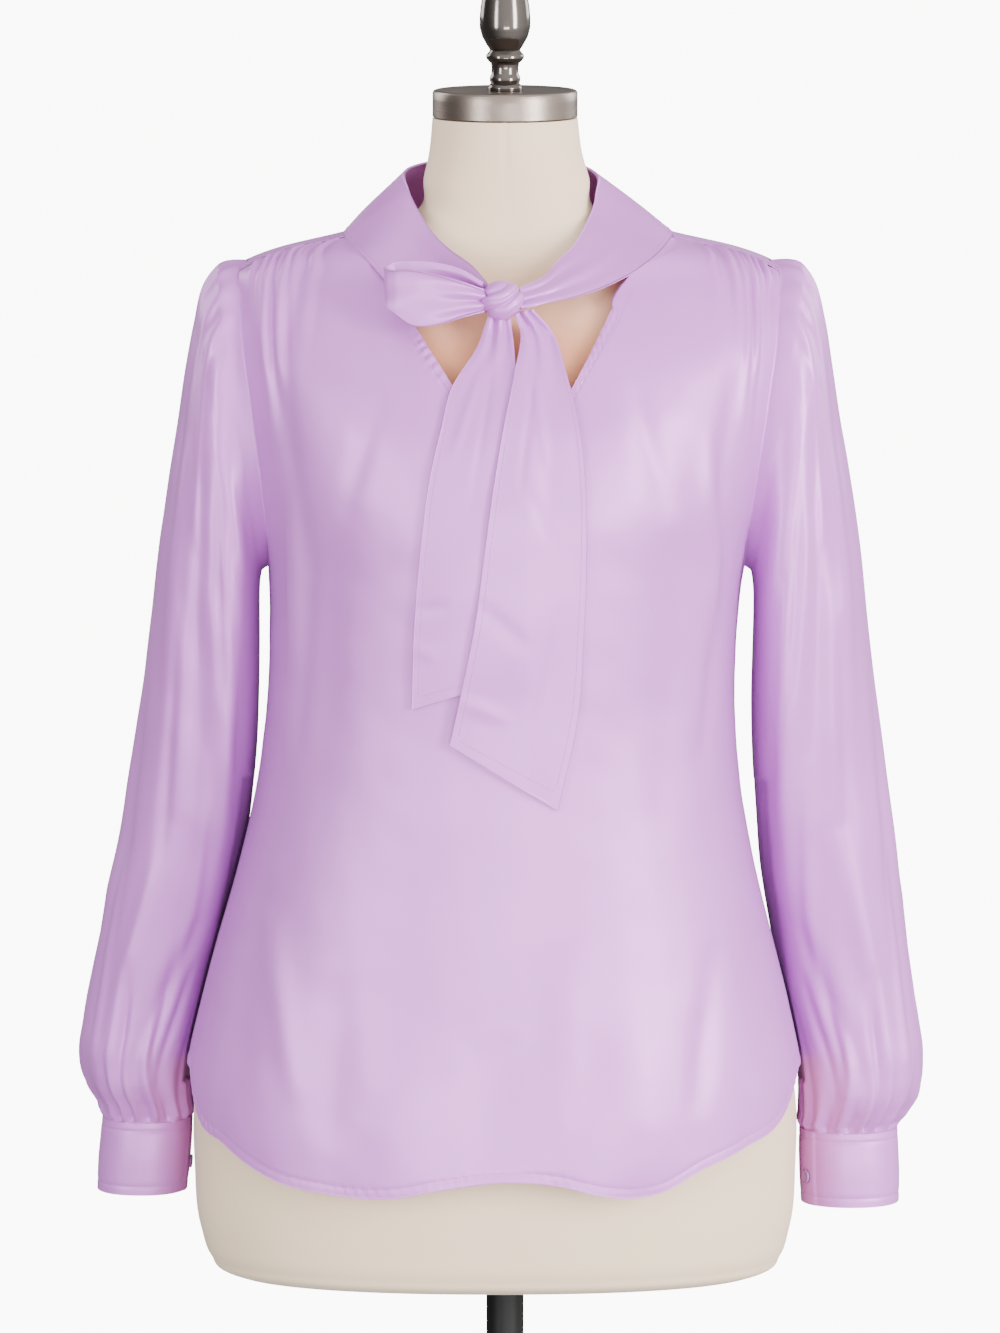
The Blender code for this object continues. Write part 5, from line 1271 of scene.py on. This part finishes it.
def build_panel(name, stretches, edges, hem, side, folds, creases, look, thread):
    """The front (side -1) or the back (side 1), with folds, gathers, puckered edges and stitches."""
    points, shares, below_top, lower = fine_panel(stretches, edges, hem, side)
    x, z = points[..., 0], points[..., 2]
    lift = fold_heights(folds, x, z) + CREASE_DEPTH * fold_heights(creases, x, z)
    lift += gather_heights(stretches, shares, below_top)
    for height, scale, front_seed, back_seed in PANEL_DRIFTS:
        lift += height * drift(x, z, scale, front_seed if side < 0 else back_seed)
    from_hem = np.linalg.norm(points - points[:1], axis=2)
    run = lengths(points[0])
    lift[:lower] += edge_ripple(from_hem[:lower], run[None, :], HEM_PUCKER, 0.4)
    lift *= np.clip(from_ends(shares)[None, :] / SIDE_SEAM_CALM, 0, 1)
    slit = np.zeros(len(shares), bool)
    if side < 0:
        starts = dict(zip([s[0] for s in stretches], [0.0] + [s[1] for s in stretches]))
        slit = (shares >= starts["slit_left"]) & (shares <= starts["neck_right"])
        from_corner = np.minimum(shares - starts["slit_left"], starts["neck_right"] - shares)
        inside = np.clip(from_corner / SLIT_CALM, 0, 1)
        top_run = lengths(points[-1])
        from_top = np.linalg.norm(points - points[-1:], axis=2)
        puckers = edge_ripple(from_top, top_run[None, :], SLIT_PUCKER, 1.3)
        lift[lower:] += (puckers * inside[None, :])[lower:]
    normals = body_normals(points)
    grid = points + normals * lift[..., None]
    piece = shell(name, grid, SATIN_WALL, look, name.replace("_cloth", ""), flip=side > 0)
    outside = grid + normals * SATIN_WALL / 2
    hem_row = EDGE_STEPS.index(STITCH_FROM_EDGE)
    lines = [(outside[hem_row, 3:-3], normals[hem_row, 3:-3])]
    if side < 0:
        kept = np.flatnonzero(slit)[1:-1]
        distance = from_top[::-1][:, kept].mean(axis=1)
        row = len(points) - 1 - np.argmin(np.abs(distance - STITCH_FROM_EDGE))
        lines.append((outside[row, kept], normals[row, kept]))
    sewn = stitches(name.replace("_cloth", "_stitches"), lines, thread)
    return piece, sewn


def build_yoke(look, thread):
    """The yoke, from the front seams over the shoulders to its seam across the back."""
    degrees = np.linspace(armhole_degree(y=YOKE_FRONT_Y) + 0.35, armhole_degree(z=BACK_YOKE_Z), 34)
    left = armhole(-1, degrees, -EDGE_INSET)
    right = armhole(1, degrees, -EDGE_INSET)[::-1]
    seam_x = np.linspace(left[-1, 0], right[0, 0], 110)[1:-1]
    seam = view_points([(x, BACK_YOKE_Z + EDGE_INSET) for x in seam_x], 1)
    outer = np.vstack([left, seam, right])
    neck = along([(x, y, 0.0) for x, y in YOKE_NECK])
    inner = neck(np.linspace(0, 1, len(outer)))
    inner[:, 2] = height_at(inner[:, 0], inner[:, 1])
    rows = []
    shares = np.linspace(0, 1, 36)
    for share in shares:
        line = inner + (outer - inner) * share
        points = line if share in (0, 1) else on_body(line)
        points[[0, -1], 1] = YOKE_FRONT_Y + EDGE_INSET
        if 0 < share < 1:
            ends = points[[0, -1]]
            points[[0, -1], 2] = height_at(ends[:, 0], ends[:, 1])
        rows.append(points)
    grid = np.array(rows)
    lift = YOKE_DRIFT * drift(grid[..., 0], grid[..., 1], 40.0, 2.0)
    lift *= np.clip(from_ends(shares) / 0.1, 0, 1)[:, None]
    lift[:, [0, -1]] = 0
    column = np.arange(grid.shape[1])
    ledge = np.exp(-((np.minimum(column, column[::-1]) / 2.5) ** 2))
    lift += YOKE_LEDGE * ledge[None, :]
    normals = body_normals(grid)
    grid = grid + normals * lift[..., None]
    piece = shell("yoke_cloth", grid, SATIN_WALL, look, "yoke", flip=True)
    outside = grid + normals * SATIN_WALL / 2
    lines = [(outside[33, 34:-34], normals[33, 34:-34])]
    lines.append((outside[2:-2, 2], normals[2:-2, 2]))
    lines.append((outside[2:-2, -3], normals[2:-2, -3]))
    return piece, stitches("yoke_stitches", lines, thread)


def build_collar(look, thread):
    """The standing collar, with soft folds that run into the knot from both sides."""
    stations = np.array(COLLAR_STATIONS)
    lower = along(stations[:, :3])
    upper = Table(np.column_stack([lower.at, stations[:, 3:]]).tolist())
    places = np.linspace(0, 1, 240)
    low, high = lower(places), upper(places)
    seam = neck_seam()
    first, last = lower.at[COLLAR_SEWN[0]], lower.at[COLLAR_SEWN[1]]
    sewn = (places >= first) & (places <= last)
    nearest = np.argmin(np.linalg.norm(low[sewn][:, None] - seam[None], axis=2), axis=1)
    rise = high[sewn] - seam[nearest]
    rise /= np.linalg.norm(rise, axis=1, keepdims=True)
    low[sewn] = seam[nearest] + rise * -SEWN_INSET + body_normals(seam[nearest]) * COLLAR_STAND_OUT
    for _ in range(6):
        low[1:-1] = (low[:-2] + 2 * low[1:-1] + low[2:]) / 4
    outward = (low + high) * np.array([0.5, 0.5, 0.0])
    outward /= np.linalg.norm(outward, axis=1, keepdims=True)
    near_knot = np.exp(-((from_ends(places) / 0.10) ** 2))
    rows = []
    for share in np.linspace(0, 1, 34):
        bulge = COLLAR_BULGE * math.sin(math.pi * share)
        fan = math.sin(2 * math.pi * 2.4 * share + 0.5) * math.sin(math.pi * share) ** 0.4
        folds = 0.0016 * near_knot * fan
        soft = 0.0007 * np.sin(places * 26 + 3.0 * share) * math.sin(math.pi * share) * (1 - near_knot)
        rows.append(low + (high - low) * share + outward * (bulge + folds + soft)[:, None])
    grid = np.array(rows)
    flat = off_knot(grid.reshape(-1, 3)).reshape(grid.shape)
    piece = shell("collar_cloth", flat, BAND_WALL, look, "collar")
    normals = grid_normals(flat, False)
    if np.mean(np.sum(normals * outward[None], axis=2)) < 0:
        normals = -normals
    outside = flat + normals * BAND_WALL / 2
    span = slice(24, 214)
    return piece, stitches("collar_stitches", [(outside[2, span], normals[2, span])], thread)


def build_loop(look):
    """The bow loop, pulled together at the knot so that folds fan out from it."""
    stations = np.array(LOOP_STATIONS)
    path = along(stations[:, :2])
    ends = Table(np.column_stack([path.at, stations[:, 2:]]).tolist())
    places = np.linspace(0, 1, 150)
    low, high = ends(places).T
    round_end = np.exp(-(((places - 0.47) / 0.075) ** 2))
    low = low + 0.0055 * round_end
    high = high - 0.0030 * round_end
    line = path(places)
    tangent = np.gradient(line, axis=0)
    tangent /= np.linalg.norm(tangent, axis=1, keepdims=True)
    away = np.column_stack([tangent[:, 1], -tangent[:, 0]])
    pull = np.exp(-((from_ends(places) / 0.20) ** 2))
    rows = []
    for share in np.linspace(0, 1, 40):
        fan = np.sin(2 * np.pi * 2.3 * share + 0.8) * np.sin(np.pi * share) ** 0.3
        wave = 0.0019 * pull * fan + 0.0008 * np.sin(places * 17 + 4 * share) * math.sin(math.pi * share)
        roll = -0.0012 * (1 - pull) * (2 * share - 1) ** 4
        xy = line + away * (wave + roll)[:, None]
        rows.append(np.column_stack([xy, low + (high - low) * share]))
    grid = np.array(rows)
    grid = off_knot(grid.reshape(-1, 3)).reshape(grid.shape)
    return shell("tie_loop_cloth", grid, BAND_WALL * 0.9, look, "tie_loop")


def build_knot(look):
    """The knot: a wrapped ball, with folds that run round it on a slant."""
    rings, points_round = 90, 128
    polar = np.linspace(0.02, math.pi - 0.02, rings)[:, None]
    turn = np.linspace(0, 2 * math.pi, points_round, endpoint=False)[None, :]
    way = np.stack(
        np.broadcast_arrays(np.sin(polar) * np.cos(turn), np.sin(polar) * np.sin(turn), np.cos(polar)), -1
    )
    slant = way[..., 2] * 0.80 - way[..., 0] * 0.60 + 0.10 * np.sin(3 * way[..., 0] + 1.0)
    groove = (0.5 + 0.5 * np.cos(8.0 * slant + 0.9)) ** 5
    fine = (0.5 + 0.5 * np.cos(23.0 * slant + 2.5 * way[..., 0] + 0.4)) ** 2
    shrink = 1 - (0.17 * groove + 0.035 * fine) * np.sin(polar)
    grid = KNOT_CENTRE + way * (KNOT_RADII + KNOT_COVER) * shrink[..., None]
    faces = barrel_faces(rings, points_round, inward=True)
    uv = np.stack(np.broadcast_arrays(turn / (2 * np.pi) * 0.08, polar * 0.013), -1).reshape(-1, 2)
    return new_piece("tie_knot_cloth", grid.reshape(-1, 3), faces, look, "tie_knot", uv)


def build_tail(name, outline, offset, settle, look, thread, creases):
    """A tail: on the front's own surface, moved out, with turned edges and a few creases."""
    outline = np.array(outline)
    middle = (outline[:, :2] + outline[:, 2:]) / 2
    left_and_right = Table(np.column_stack([along(middle).at, outline]).tolist())
    places = np.concatenate([[0, 0.012, 0.03, 0.055], np.linspace(0.09, 0.91, 34), [0.945, 0.97, 0.988, 1]])
    rows = []
    for share in np.linspace(0, 1, 190):
        x0, z0, x1, z1 = left_and_right(share)
        x = x0 + (x1 - x0) * places
        z = z0 + (z1 - z0) * places
        clear = np.full(len(x), offset)
        if settle:
            drop = np.clip((x - settle[0]) / (settle[1] - settle[0]), 0, 1)
            clear = offset + (SHORT_TAIL_OFFSET - offset) * drop * drop * (3 - 2 * drop)
        resting = front_sheet_y(x, z) - clear
        near = TAIL_NEAREST_Y - (0.002 if settle else 0.0)
        gap = resting - near
        y = near + (gap - np.sqrt(gap * gap + TAIL_SOFTNESS * TAIL_SOFTNESS)) / 2
        pull = math.exp(-((share / 0.13) ** 2))
        gathered = 0.0022 * pull * np.sin(2 * np.pi * 2.1 * places + 0.4) * np.sin(np.pi * places) ** 0.5
        turned_edge = 0.0005 * np.exp(-((from_ends(places) / 0.05) ** 2))
        soft = 0.0006 * np.sin(share * 19 + 2.2 * places) * np.sin(np.pi * places)
        y = y - gathered - turned_edge - soft - fold_heights(creases, x, z)
        rows.append(np.column_stack([x, y, z]))
    grid = np.array(rows)
    grid = off_knot(grid.reshape(-1, 3)).reshape(grid.shape)
    piece = shell(name + "_cloth", grid, BAND_WALL * 0.9, look, name, flip=True)
    outward = np.broadcast_to(np.array([0.0, -1.0, 0.0]), grid.shape)
    outside = grid + outward * BAND_WALL * 0.45
    lines = []
    for column in (3, -4):
        lines.append((outside[24:-6, column], outward[24:-6, column]))
    lines.append((outside[-6, 3:-3], outward[-6, 3:-3]))
    return piece, stitches(name + "_stitches", lines, thread)


def sleeve_lift(share_round, t, girth):
    """Folds and creases of a sleeve at one ring, shallower near its head."""
    total = np.zeros(len(share_round))
    for degree0, t0, degree1, t1, half_width, height in SLEEVE_FOLDS + SLEEVE_CREASES:
        if not t0 < t < t1:
            continue
        part = (t - t0) / (t1 - t0)
        centre = (degree0 + (degree1 - degree0) * part) / 360
        away = ((share_round - centre + 0.5) % 1.0 - 0.5) * girth
        strength = 1.5 * min(1.0, 0.15 + t / 0.45)
        width = half_width * (1.5 - min(0.5, t))
        total += strength * height * math.sin(math.pi * part) ** 0.8 * np.exp(-((away / width) ** 2))
    return total


def fine_head_wave(share_round, t):
    """Small pleats at the sleeve's head, each with its own length."""
    spread = HEAD_SPREAD_DEGREES / 360
    place = (share_round + 0.5) % 1.0 - 0.5
    inside = np.abs(place) < spread
    uneven = 1 + 0.35 * np.sin(place * 47 + 1.0)
    wave = np.cos(np.pi * HEAD_GATHERS * place / spread) * np.cos(np.pi * place / spread / 2) * uneven
    wave = np.sign(wave) * np.abs(wave) ** 0.8
    rise = min(1.0, 0.25 + t / 0.03)
    reach = 0.12 + 0.06 * np.sin(place * 61 + 0.5)
    fade = np.clip(1 - t / reach, 0, 1) ** 1.4
    return np.where(inside, wave * rise * fade * HEAD_GATHER_HEIGHT * 1.15, 0)


def fine_cuff_wave(share_round, t):
    """Narrow gathers above the cuff, some of which run further up than others."""
    total = 0 * share_round
    if t < 0.80:
        return total
    phase = CUFF_GATHERS * share_round + 0.22 * np.sin(2 * np.pi * 4 * share_round + 1.0)
    reach = 0.115 + 0.055 * np.sin(2 * np.pi * 5 * share_round + 0.7)
    fade = np.clip(1 - (0.992 - t) / reach, 0, 1) ** 1.1 * min(1.0, 0.35 + (1 - t) / 0.012)
    sharp = np.cos(2 * np.pi * phase)
    small = 0.35 * np.cos(2 * np.pi * 2.0 * phase + 1.1)
    return CUFF_GATHER_HEIGHT * 1.35 * fade * (sharp + small * fade)


def rounded_lead(hole, ring, after):
    """Rows from the armhole to the first ring, which bend round into the sleeve's own direction."""
    reach = np.linalg.norm(ring - hole, axis=1, keepdims=True)
    leave = (ring - hole) + np.array([0.0, 0.0, 0.25]) * reach
    arrive = (after - ring) / np.linalg.norm(after - ring, axis=1, keepdims=True) * reach * 0.9
    rows = []
    for s in np.arange(7) / 7:
        ease = s * s * (3 - 2 * s)
        bend = s * (1 - s) ** 2 * leave + s * s * (s - 1) * arrive
        rows.append(hole + (ring - hole) * ease + bend)
    return rows


def build_sleeve(name, side, table, cuff, look):
    """A sleeve: rings down its table, led in from the armhole and out into the cuff."""
    top_x, top_z, _, _, half_width, half_depth, centre_y = cuff
    rings = np.array(table)
    first, last = SLEEVE_TABLE_SHARES
    shape = Table(np.column_stack([first + (last - first) * along(rings[:, :2]).at, rings]).tolist())
    foot = top_z - SEAM_GAP * 2
    share_round = np.arange(SLEEVE_POINTS) / SLEEVE_POINTS
    wide, deep = full_section(2 * np.pi * share_round)

    def ring(outer, inner, y, depth, t):
        middle, arm = (outer + inner) / 2, (outer - inner) / 2
        away = np.column_stack([wide, -deep]) * np.array([depth, np.hypot(*arm)])
        away /= np.linalg.norm(away, axis=1, keepdims=True)
        girth = 2 * np.pi * math.sqrt((depth**2 + np.hypot(*arm) ** 2) / 2)
        lift = sleeve_lift(share_round, t, girth)
        lift += fine_head_wave(share_round, t) + fine_cuff_wave(share_round, t)
        down = np.full(len(share_round), t * SLEEVE_LENGTH)
        lift += SLEEVE_DRIFT * drift(share_round * girth, down, 42.0, 3.0 + side)
        calm = np.clip((0.16 - np.abs(share_round - 0.5)) / 0.06, 0, 1) if t < 0.5 else 0
        lift = lift * (1 - calm)
        way = arm / np.hypot(*arm)
        x = middle[0] + arm[0] * wide + way[0] * away[:, 0] * lift
        z = middle[1] + arm[1] * wide + way[1] * away[:, 0] * lift
        return clear_of_body(np.column_stack([x, y - depth * deep + away[:, 1] * lift, z]))

    hole = armhole(side, 90 - 360 * share_round, SEWN_INSET)
    hole += np.array([side * 0.2, 0, 0.5]) * (head_wave(share_round, 0.0) * 0.4)[:, None]
    head, middle = np.linspace(first, 0.10, 24), np.linspace(0.10, 0.84, 92)
    places = np.concatenate([head, middle[1:], np.linspace(0.84, last, 48)[1:]])
    rows = []
    for t in places:
        outer_x, outer_z, inner_x, inner_z, y, depth = shape(t)
        rows.append(ring(np.array([outer_x, outer_z]), np.array([inner_x, inner_z]), y, depth, t))
    lead = rounded_lead(hole, rows[0], rows[2])
    tail = []
    end_rings = []
    for t, rise, wider, deeper in SLEEVE_FOOT_RINGS:
        reach = side * (half_width + wider - SEWN_INSET * 2)
        outer, inner = np.array([top_x + reach, foot + rise]), np.array([top_x - reach, foot + rise])
        end_rings.append(ring(outer, inner, centre_y, half_depth + deeper, t))
    for k in range(1, 7):
        tail.append(rows[-1] + (end_rings[0] - rows[-1]) * k / 6)
    for k in range(1, 5):
        tail.append(end_rings[0] + (end_rings[1] - end_rings[0]) * k / 4)
    grid = np.array(lead + rows + tail)
    return shell(name + "_cloth", grid, SATIN_WALL, look, name, closed=True, flip=side > 0)


def build_cuff(name, cuff, button_degrees, look, thread):
    """A cuff with a lapped edge under its button and a row of stitches near each edge."""
    share_round = np.arange(CUFF_POINTS) / CUFF_POINTS
    places = np.concatenate([np.linspace(0, 0.16, 12), np.linspace(0.2, 0.82, 22), np.linspace(0.86, 1, 12)])
    degrees = 360 * share_round
    lap = (degrees - button_degrees + 180) % 360 - 180
    rows = []
    for share in places:
        from_edge = from_ends(share) * CUFF_HEIGHT
        groove = -0.0004 * math.exp(-(((from_edge - 0.0065) / 0.0011) ** 2))
        lapped = 0.0009 / (1 + np.exp(-(lap + 14) * 1.6)) * (lap < 60)
        lapped *= np.clip((60 - lap) / 40, 0, 1)
        puff = 0.0007 * math.sin(math.pi * share)
        down = np.full(CUFF_POINTS, share * CUFF_HEIGHT)
        uneven = 0.0003 * drift(share_round * CUFF_GIRTH, down, 90.0, 5.0)
        rows.append(cuff_point(cuff, degrees, share, groove + lapped + puff + uneven))
    grid = np.array(rows)
    side = 1 if cuff[0] > 0 else -1
    piece = shell(name + "_cloth", grid, BAND_WALL, look, name, closed=True, flip=side > 0)
    normals = grid_normals(grid, True) * (-1 if side > 0 else 1)
    outside = grid + normals * BAND_WALL / 2
    lines = []
    for share in (0.12, 0.88):
        row = int(np.argmin(np.abs(places - share)))
        line = np.vstack([outside[row], outside[row, :1]])
        lines.append((line, np.vstack([normals[row], normals[row, :1]])))
    return piece, stitches(name + "_stitches", lines, thread)


def build_button(name, cuff, degrees, look, node):
    """A small button with a rim and a dished face, which stands out square to the cuff."""
    centre = cuff_point(cuff, degrees, CUFF_SHARE_OF_BUTTON)
    across = cuff_point(cuff, degrees + 4, CUFF_SHARE_OF_BUTTON)
    across = across - cuff_point(cuff, degrees - 4, CUFF_SHARE_OF_BUTTON)
    across /= np.linalg.norm(across)
    upward = cuff_point(cuff, degrees, 0.0) - cuff_point(cuff, degrees, 1.0)
    upward /= np.linalg.norm(upward)
    outward = np.cross(across, upward)
    middle = np.array([cuff[0], cuff[6], centre[2]])
    if np.dot(outward, centre - middle) < 0:
        outward = -outward
    foot = centre + outward * (BAND_WALL / 2 + 0.0016)
    count = 40
    points, faces = [foot], []
    for radius, rise in BUTTON_PROFILE[1:-1]:
        for j in range(count):
            turn = 2 * math.pi * j / count
            away = math.cos(turn) * across + math.sin(turn) * upward
            points.append(foot + radius * away + outward * rise)
    points.append(foot + outward * BUTTON_PROFILE[-1][1])
    for j in range(count):
        k = (j + 1) % count
        faces.append((0, 1 + k, 1 + j))
        for i in range(len(BUTTON_PROFILE) - 3):
            a, b = 1 + i * count, 1 + (i + 1) * count
            faces.append((a + j, a + k, b + k, b + j))
        last = 1 + (len(BUTTON_PROFILE) - 3) * count
        faces.append((last + j, last + k, len(points) - 1))
    return new_piece(name, np.array(points), faces, look, node)


def lathe(name, profile, foot_z, look, node, count=96, steps=4):
    """A turned piece: its profile, each stretch of it cut in steps, taken round the upright axis."""
    rows = np.array(profile, float)
    length = np.concatenate([[0], np.cumsum(np.hypot(*np.diff(rows, axis=0).T))])
    fine = np.unique(np.concatenate([np.linspace(a, b, steps) for a, b in zip(length[:-1], length[1:])]))
    radius = np.interp(fine, length, rows[:, 0])
    rise = np.interp(fine, length, rows[:, 1])
    turn = np.linspace(0, 2 * np.pi, count, endpoint=False)
    inner = radius > 1e-6
    radius, rise = radius[inner], rise[inner]
    radius, height = radius[:, None], rise[:, None] + foot_z
    grid = np.stack(np.broadcast_arrays(radius * np.cos(turn), radius * np.sin(turn), height), -1)
    piece = new_piece(name, grid.reshape(-1, 3), barrel_faces(len(grid), count), look, node)
    piece.data.set_sharp_from_angle(angle=math.radians(40))
    return piece


def build_form(look):
    """The dress form, with its sewn seams down the middle, in front and behind, and round the neck."""
    levels = [section[0] for section in FORM_SECTIONS]
    heights = np.unique(np.concatenate([np.linspace(a, b, 8) for a, b in zip(levels, levels[1:])]))
    count = 144
    turn = 2 * np.pi * np.arange(count) / count
    rows = []
    for z in heights:
        centre, half, front, back = form(z)
        settle = np.clip((z - 1.395) / (CAP_BOTTOM_Z - 1.395), 0, 1)
        wide, deep = full_section(turn, 2 / (SECTION_POWER + (2.0 - SECTION_POWER) * settle))
        y = np.where(deep < 0, front, back) * deep
        rows.append(np.column_stack([centre + half * wide, y, np.full(count, z)]))
    grid = np.array(rows)
    seam_z = 1.379 - 0.018 * np.clip(-grid[..., 1] / 0.05, -1, 1)
    normals = -grid_normals(grid, True)
    if np.sum(normals[20] * (grid[20] - grid[20].mean(axis=0))) < 0:
        normals = -normals
    dent = 0.0010 * np.exp(-((grid[..., 0] / 0.0013) ** 2))
    dent += 0.0009 * np.exp(-(((grid[..., 2] - seam_z) / 0.0013) ** 2))
    dent *= np.clip((grid[..., 2] - 0.625) / 0.01, 0, 1)
    grid = grid - normals * dent[..., None]
    faces = barrel_faces(len(heights), count)
    piece = new_piece("form_body", grid.reshape(-1, 3), faces, look, "form_torso")
    piece.data.set_sharp_from_angle(angle=math.radians(50))
    return piece


def area_light(name, place, aim, size, power, colour):
    """A soft lamp at a place, turned towards what it aims at."""
    data = bpy.data.lights.new(name, "AREA")
    data.shape = "RECTANGLE"
    data.size, data.size_y = size
    data.energy = power
    data.color = colour
    lamp = bpy.data.objects.new(name, data)
    lamp.location = place
    lamp.rotation_euler = (Vector(aim) - Vector(place)).to_track_quat("-Z", "Y").to_euler()
    bpy.context.scene.collection.objects.link(lamp)


def build_studio():
    """A large pale floor, soft light and the camera, which looks down a little from far away."""
    look = bpy.data.materials.new("studio_floor")
    look.use_nodes = True
    glow = {"Emission Color": (1.0, 0.985, 0.975, 1.0), "Emission Strength": FLOOR_GLOW}
    finish = {"Base Color": (0.93, 0.92, 0.91, 1.0), "Roughness": 0.8}
    set_inputs(look.node_tree.nodes["Principled BSDF"], finish | glow)
    mesh = bpy.data.meshes.new("studio_floor")
    corners = [(-1, -1), (1, -1), (1, 1), (-1, 1)]
    mesh.from_pydata([(x * FLOOR_HALF_SIZE, y * FLOOR_HALF_SIZE, 0) for x, y in corners], [], [(0, 1, 2, 3)])
    mesh.materials.append(look)
    floor = bpy.data.objects.new("studio_floor", mesh)
    bpy.context.scene.collection.objects.link(floor)
    floor.visible_diffuse = False
    floor.visible_glossy = False
    world = bpy.data.worlds.new("studio")
    world.use_nodes = True
    background = world.node_tree.nodes["Background"]
    background.inputs["Color"].default_value = WORLD_COLOUR
    nodes, links = world.node_tree.nodes, world.node_tree.links
    place = nodes.new("ShaderNodeTexCoord")
    toward = nodes.new("ShaderNodeVectorMath")
    toward.operation = "DOT_PRODUCT"
    toward.inputs[1].default_value = WORLD_BRIGHT_SIDE
    spread = nodes.new("ShaderNodeMapRange")
    spread.interpolation_type = "SMOOTHSTEP"
    low, high = WORLD_STRENGTHS
    set_inputs(spread, {"From Min": -0.6, "From Max": 1.0, "To Min": low, "To Max": high})
    links.new(place.outputs["Generated"], toward.inputs[0])
    links.new(toward.outputs["Value"], spread.inputs["Value"])
    seen = nodes.new("ShaderNodeLightPath")
    shown = nodes.new("ShaderNodeMix")
    shown.data_type = "FLOAT"
    shown.inputs["B"].default_value = SKY_SHOWN
    links.new(seen.outputs["Is Camera Ray"], shown.inputs["Factor"])
    links.new(spread.outputs["Result"], shown.inputs["A"])
    links.new(shown.outputs["Result"], background.inputs["Strength"])
    bpy.context.scene.world = world
    for row in LIGHTS:
        area_light(*row)
    data = bpy.data.cameras.new("camera")
    data.lens = CAMERA_LENS
    data.clip_end = 200
    camera = bpy.data.objects.new("camera", data)
    tilt = math.radians(CAMERA_TILT)
    aim = Vector(CAMERA_AIM)
    camera.location = aim + CAMERA_DISTANCE * Vector((0, -math.cos(tilt), math.sin(tilt)))
    camera.rotation_euler = (aim - camera.location).to_track_quat("-Z", "Y").to_euler()
    bpy.context.scene.collection.objects.link(camera)
    bpy.context.scene.camera = camera


def main():
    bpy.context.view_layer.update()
    satin_look = satin("lilac satin", "lilac_satin", (196, 118, 207), 0.41)
    thread = plain_look("lilac thread", "lilac_satin", (176, 112, 190), 0.55)
    button_look = plain_look("button", "button_lilac", (150, 100, 160), 0.25)
    knit, brushing = ((700, 700, 700), 0.25), ((12, 12, 2600), 0.30)
    jersey = plain_look("form jersey", "form_cloth", (226, 202, 172), 0.85, grain=knit, sheen=0.2)
    # The form's cloth gets a painted warm tone of bounced light in the shade inside the neckline
    paint_neckline_bounce_light(jersey, (226, 202, 172), (216, 148, 112))
    steel = plain_look("brushed steel", "brushed_steel", (136, 124, 116), 0.34, 1.0, grain=brushing)
    nickel = plain_look("polished nickel", "polished_nickel", (100, 94, 90), 0.16, 1.0)
    black = plain_look("black steel", "black_steel", (12, 12, 13), 0.50)
    set_inputs(black.node_tree.nodes["Principled BSDF"], {"Specular IOR Level": 0.25})

    looks = (satin_look, thread)
    cut = (FRONT_STRETCHES, front_edges(), FRONT_HEM, -1, FRONT_FOLDS, FRONT_CREASES)
    front, front_sewn = build_panel("front_cloth", *cut, *looks)
    cut = (BACK_STRETCHES, back_edges(), BACK_HEM, 1, BACK_FOLDS, BACK_CREASES)
    back, back_sewn = build_panel("back_cloth", *cut, *looks)
    yoke, yoke_sewn = build_yoke(satin_look, thread)
    collar, collar_sewn = build_collar(satin_look, thread)
    loop = build_loop(satin_look)
    build_knot(satin_look)
    short_tail, short_sewn = build_tail(
        "tie_tail_short", SHORT_TAIL, SHORT_TAIL_OFFSET, None, satin_look, thread, SHORT_TAIL_CREASES
    )
    long_tail, long_sewn = build_tail(
        "tie_tail_long", LONG_TAIL, LONG_TAIL_OFFSET, LONG_TAIL_SETTLE, satin_look, thread, LONG_TAIL_CREASES
    )
    left_sleeve = build_sleeve("sleeve_left", -1, LEFT_SLEEVE, CUFFS["left"], satin_look)
    right_sleeve = build_sleeve("sleeve_right", 1, RIGHT_SLEEVE, CUFFS["right"], satin_look)
    for side in ("left", "right"):
        cuff, degrees = CUFFS[side], CUFF_BUTTON_ANGLE[side]
        build_cuff("cuff_" + side, cuff, degrees, satin_look, thread)
        build_button("button_" + side, cuff, degrees, button_look, "cuff_button_" + side)
    build_form(jersey)
    lathe("cap", CAP_PROFILE, CAP_BOTTOM_Z, steel, "neck_cap")
    cap_top = CAP_BOTTOM_Z + CAP_PROFILE[-1][1]
    lathe("finial_knob", FINIAL_PROFILE, cap_top + SEAM_GAP, nickel, "finial")
    lathe("base_plate", BASE_PROFILE, 0.0, black, "base")
    foot, top = BASE_HEIGHT + SEAM_GAP, FORM_BOTTOM_Z - SEAM_GAP
    lathe("pole_tube", ((POLE_RADIUS, 0.0), (POLE_RADIUS, top - foot)), foot, black, "pole")

    build_studio()


main()
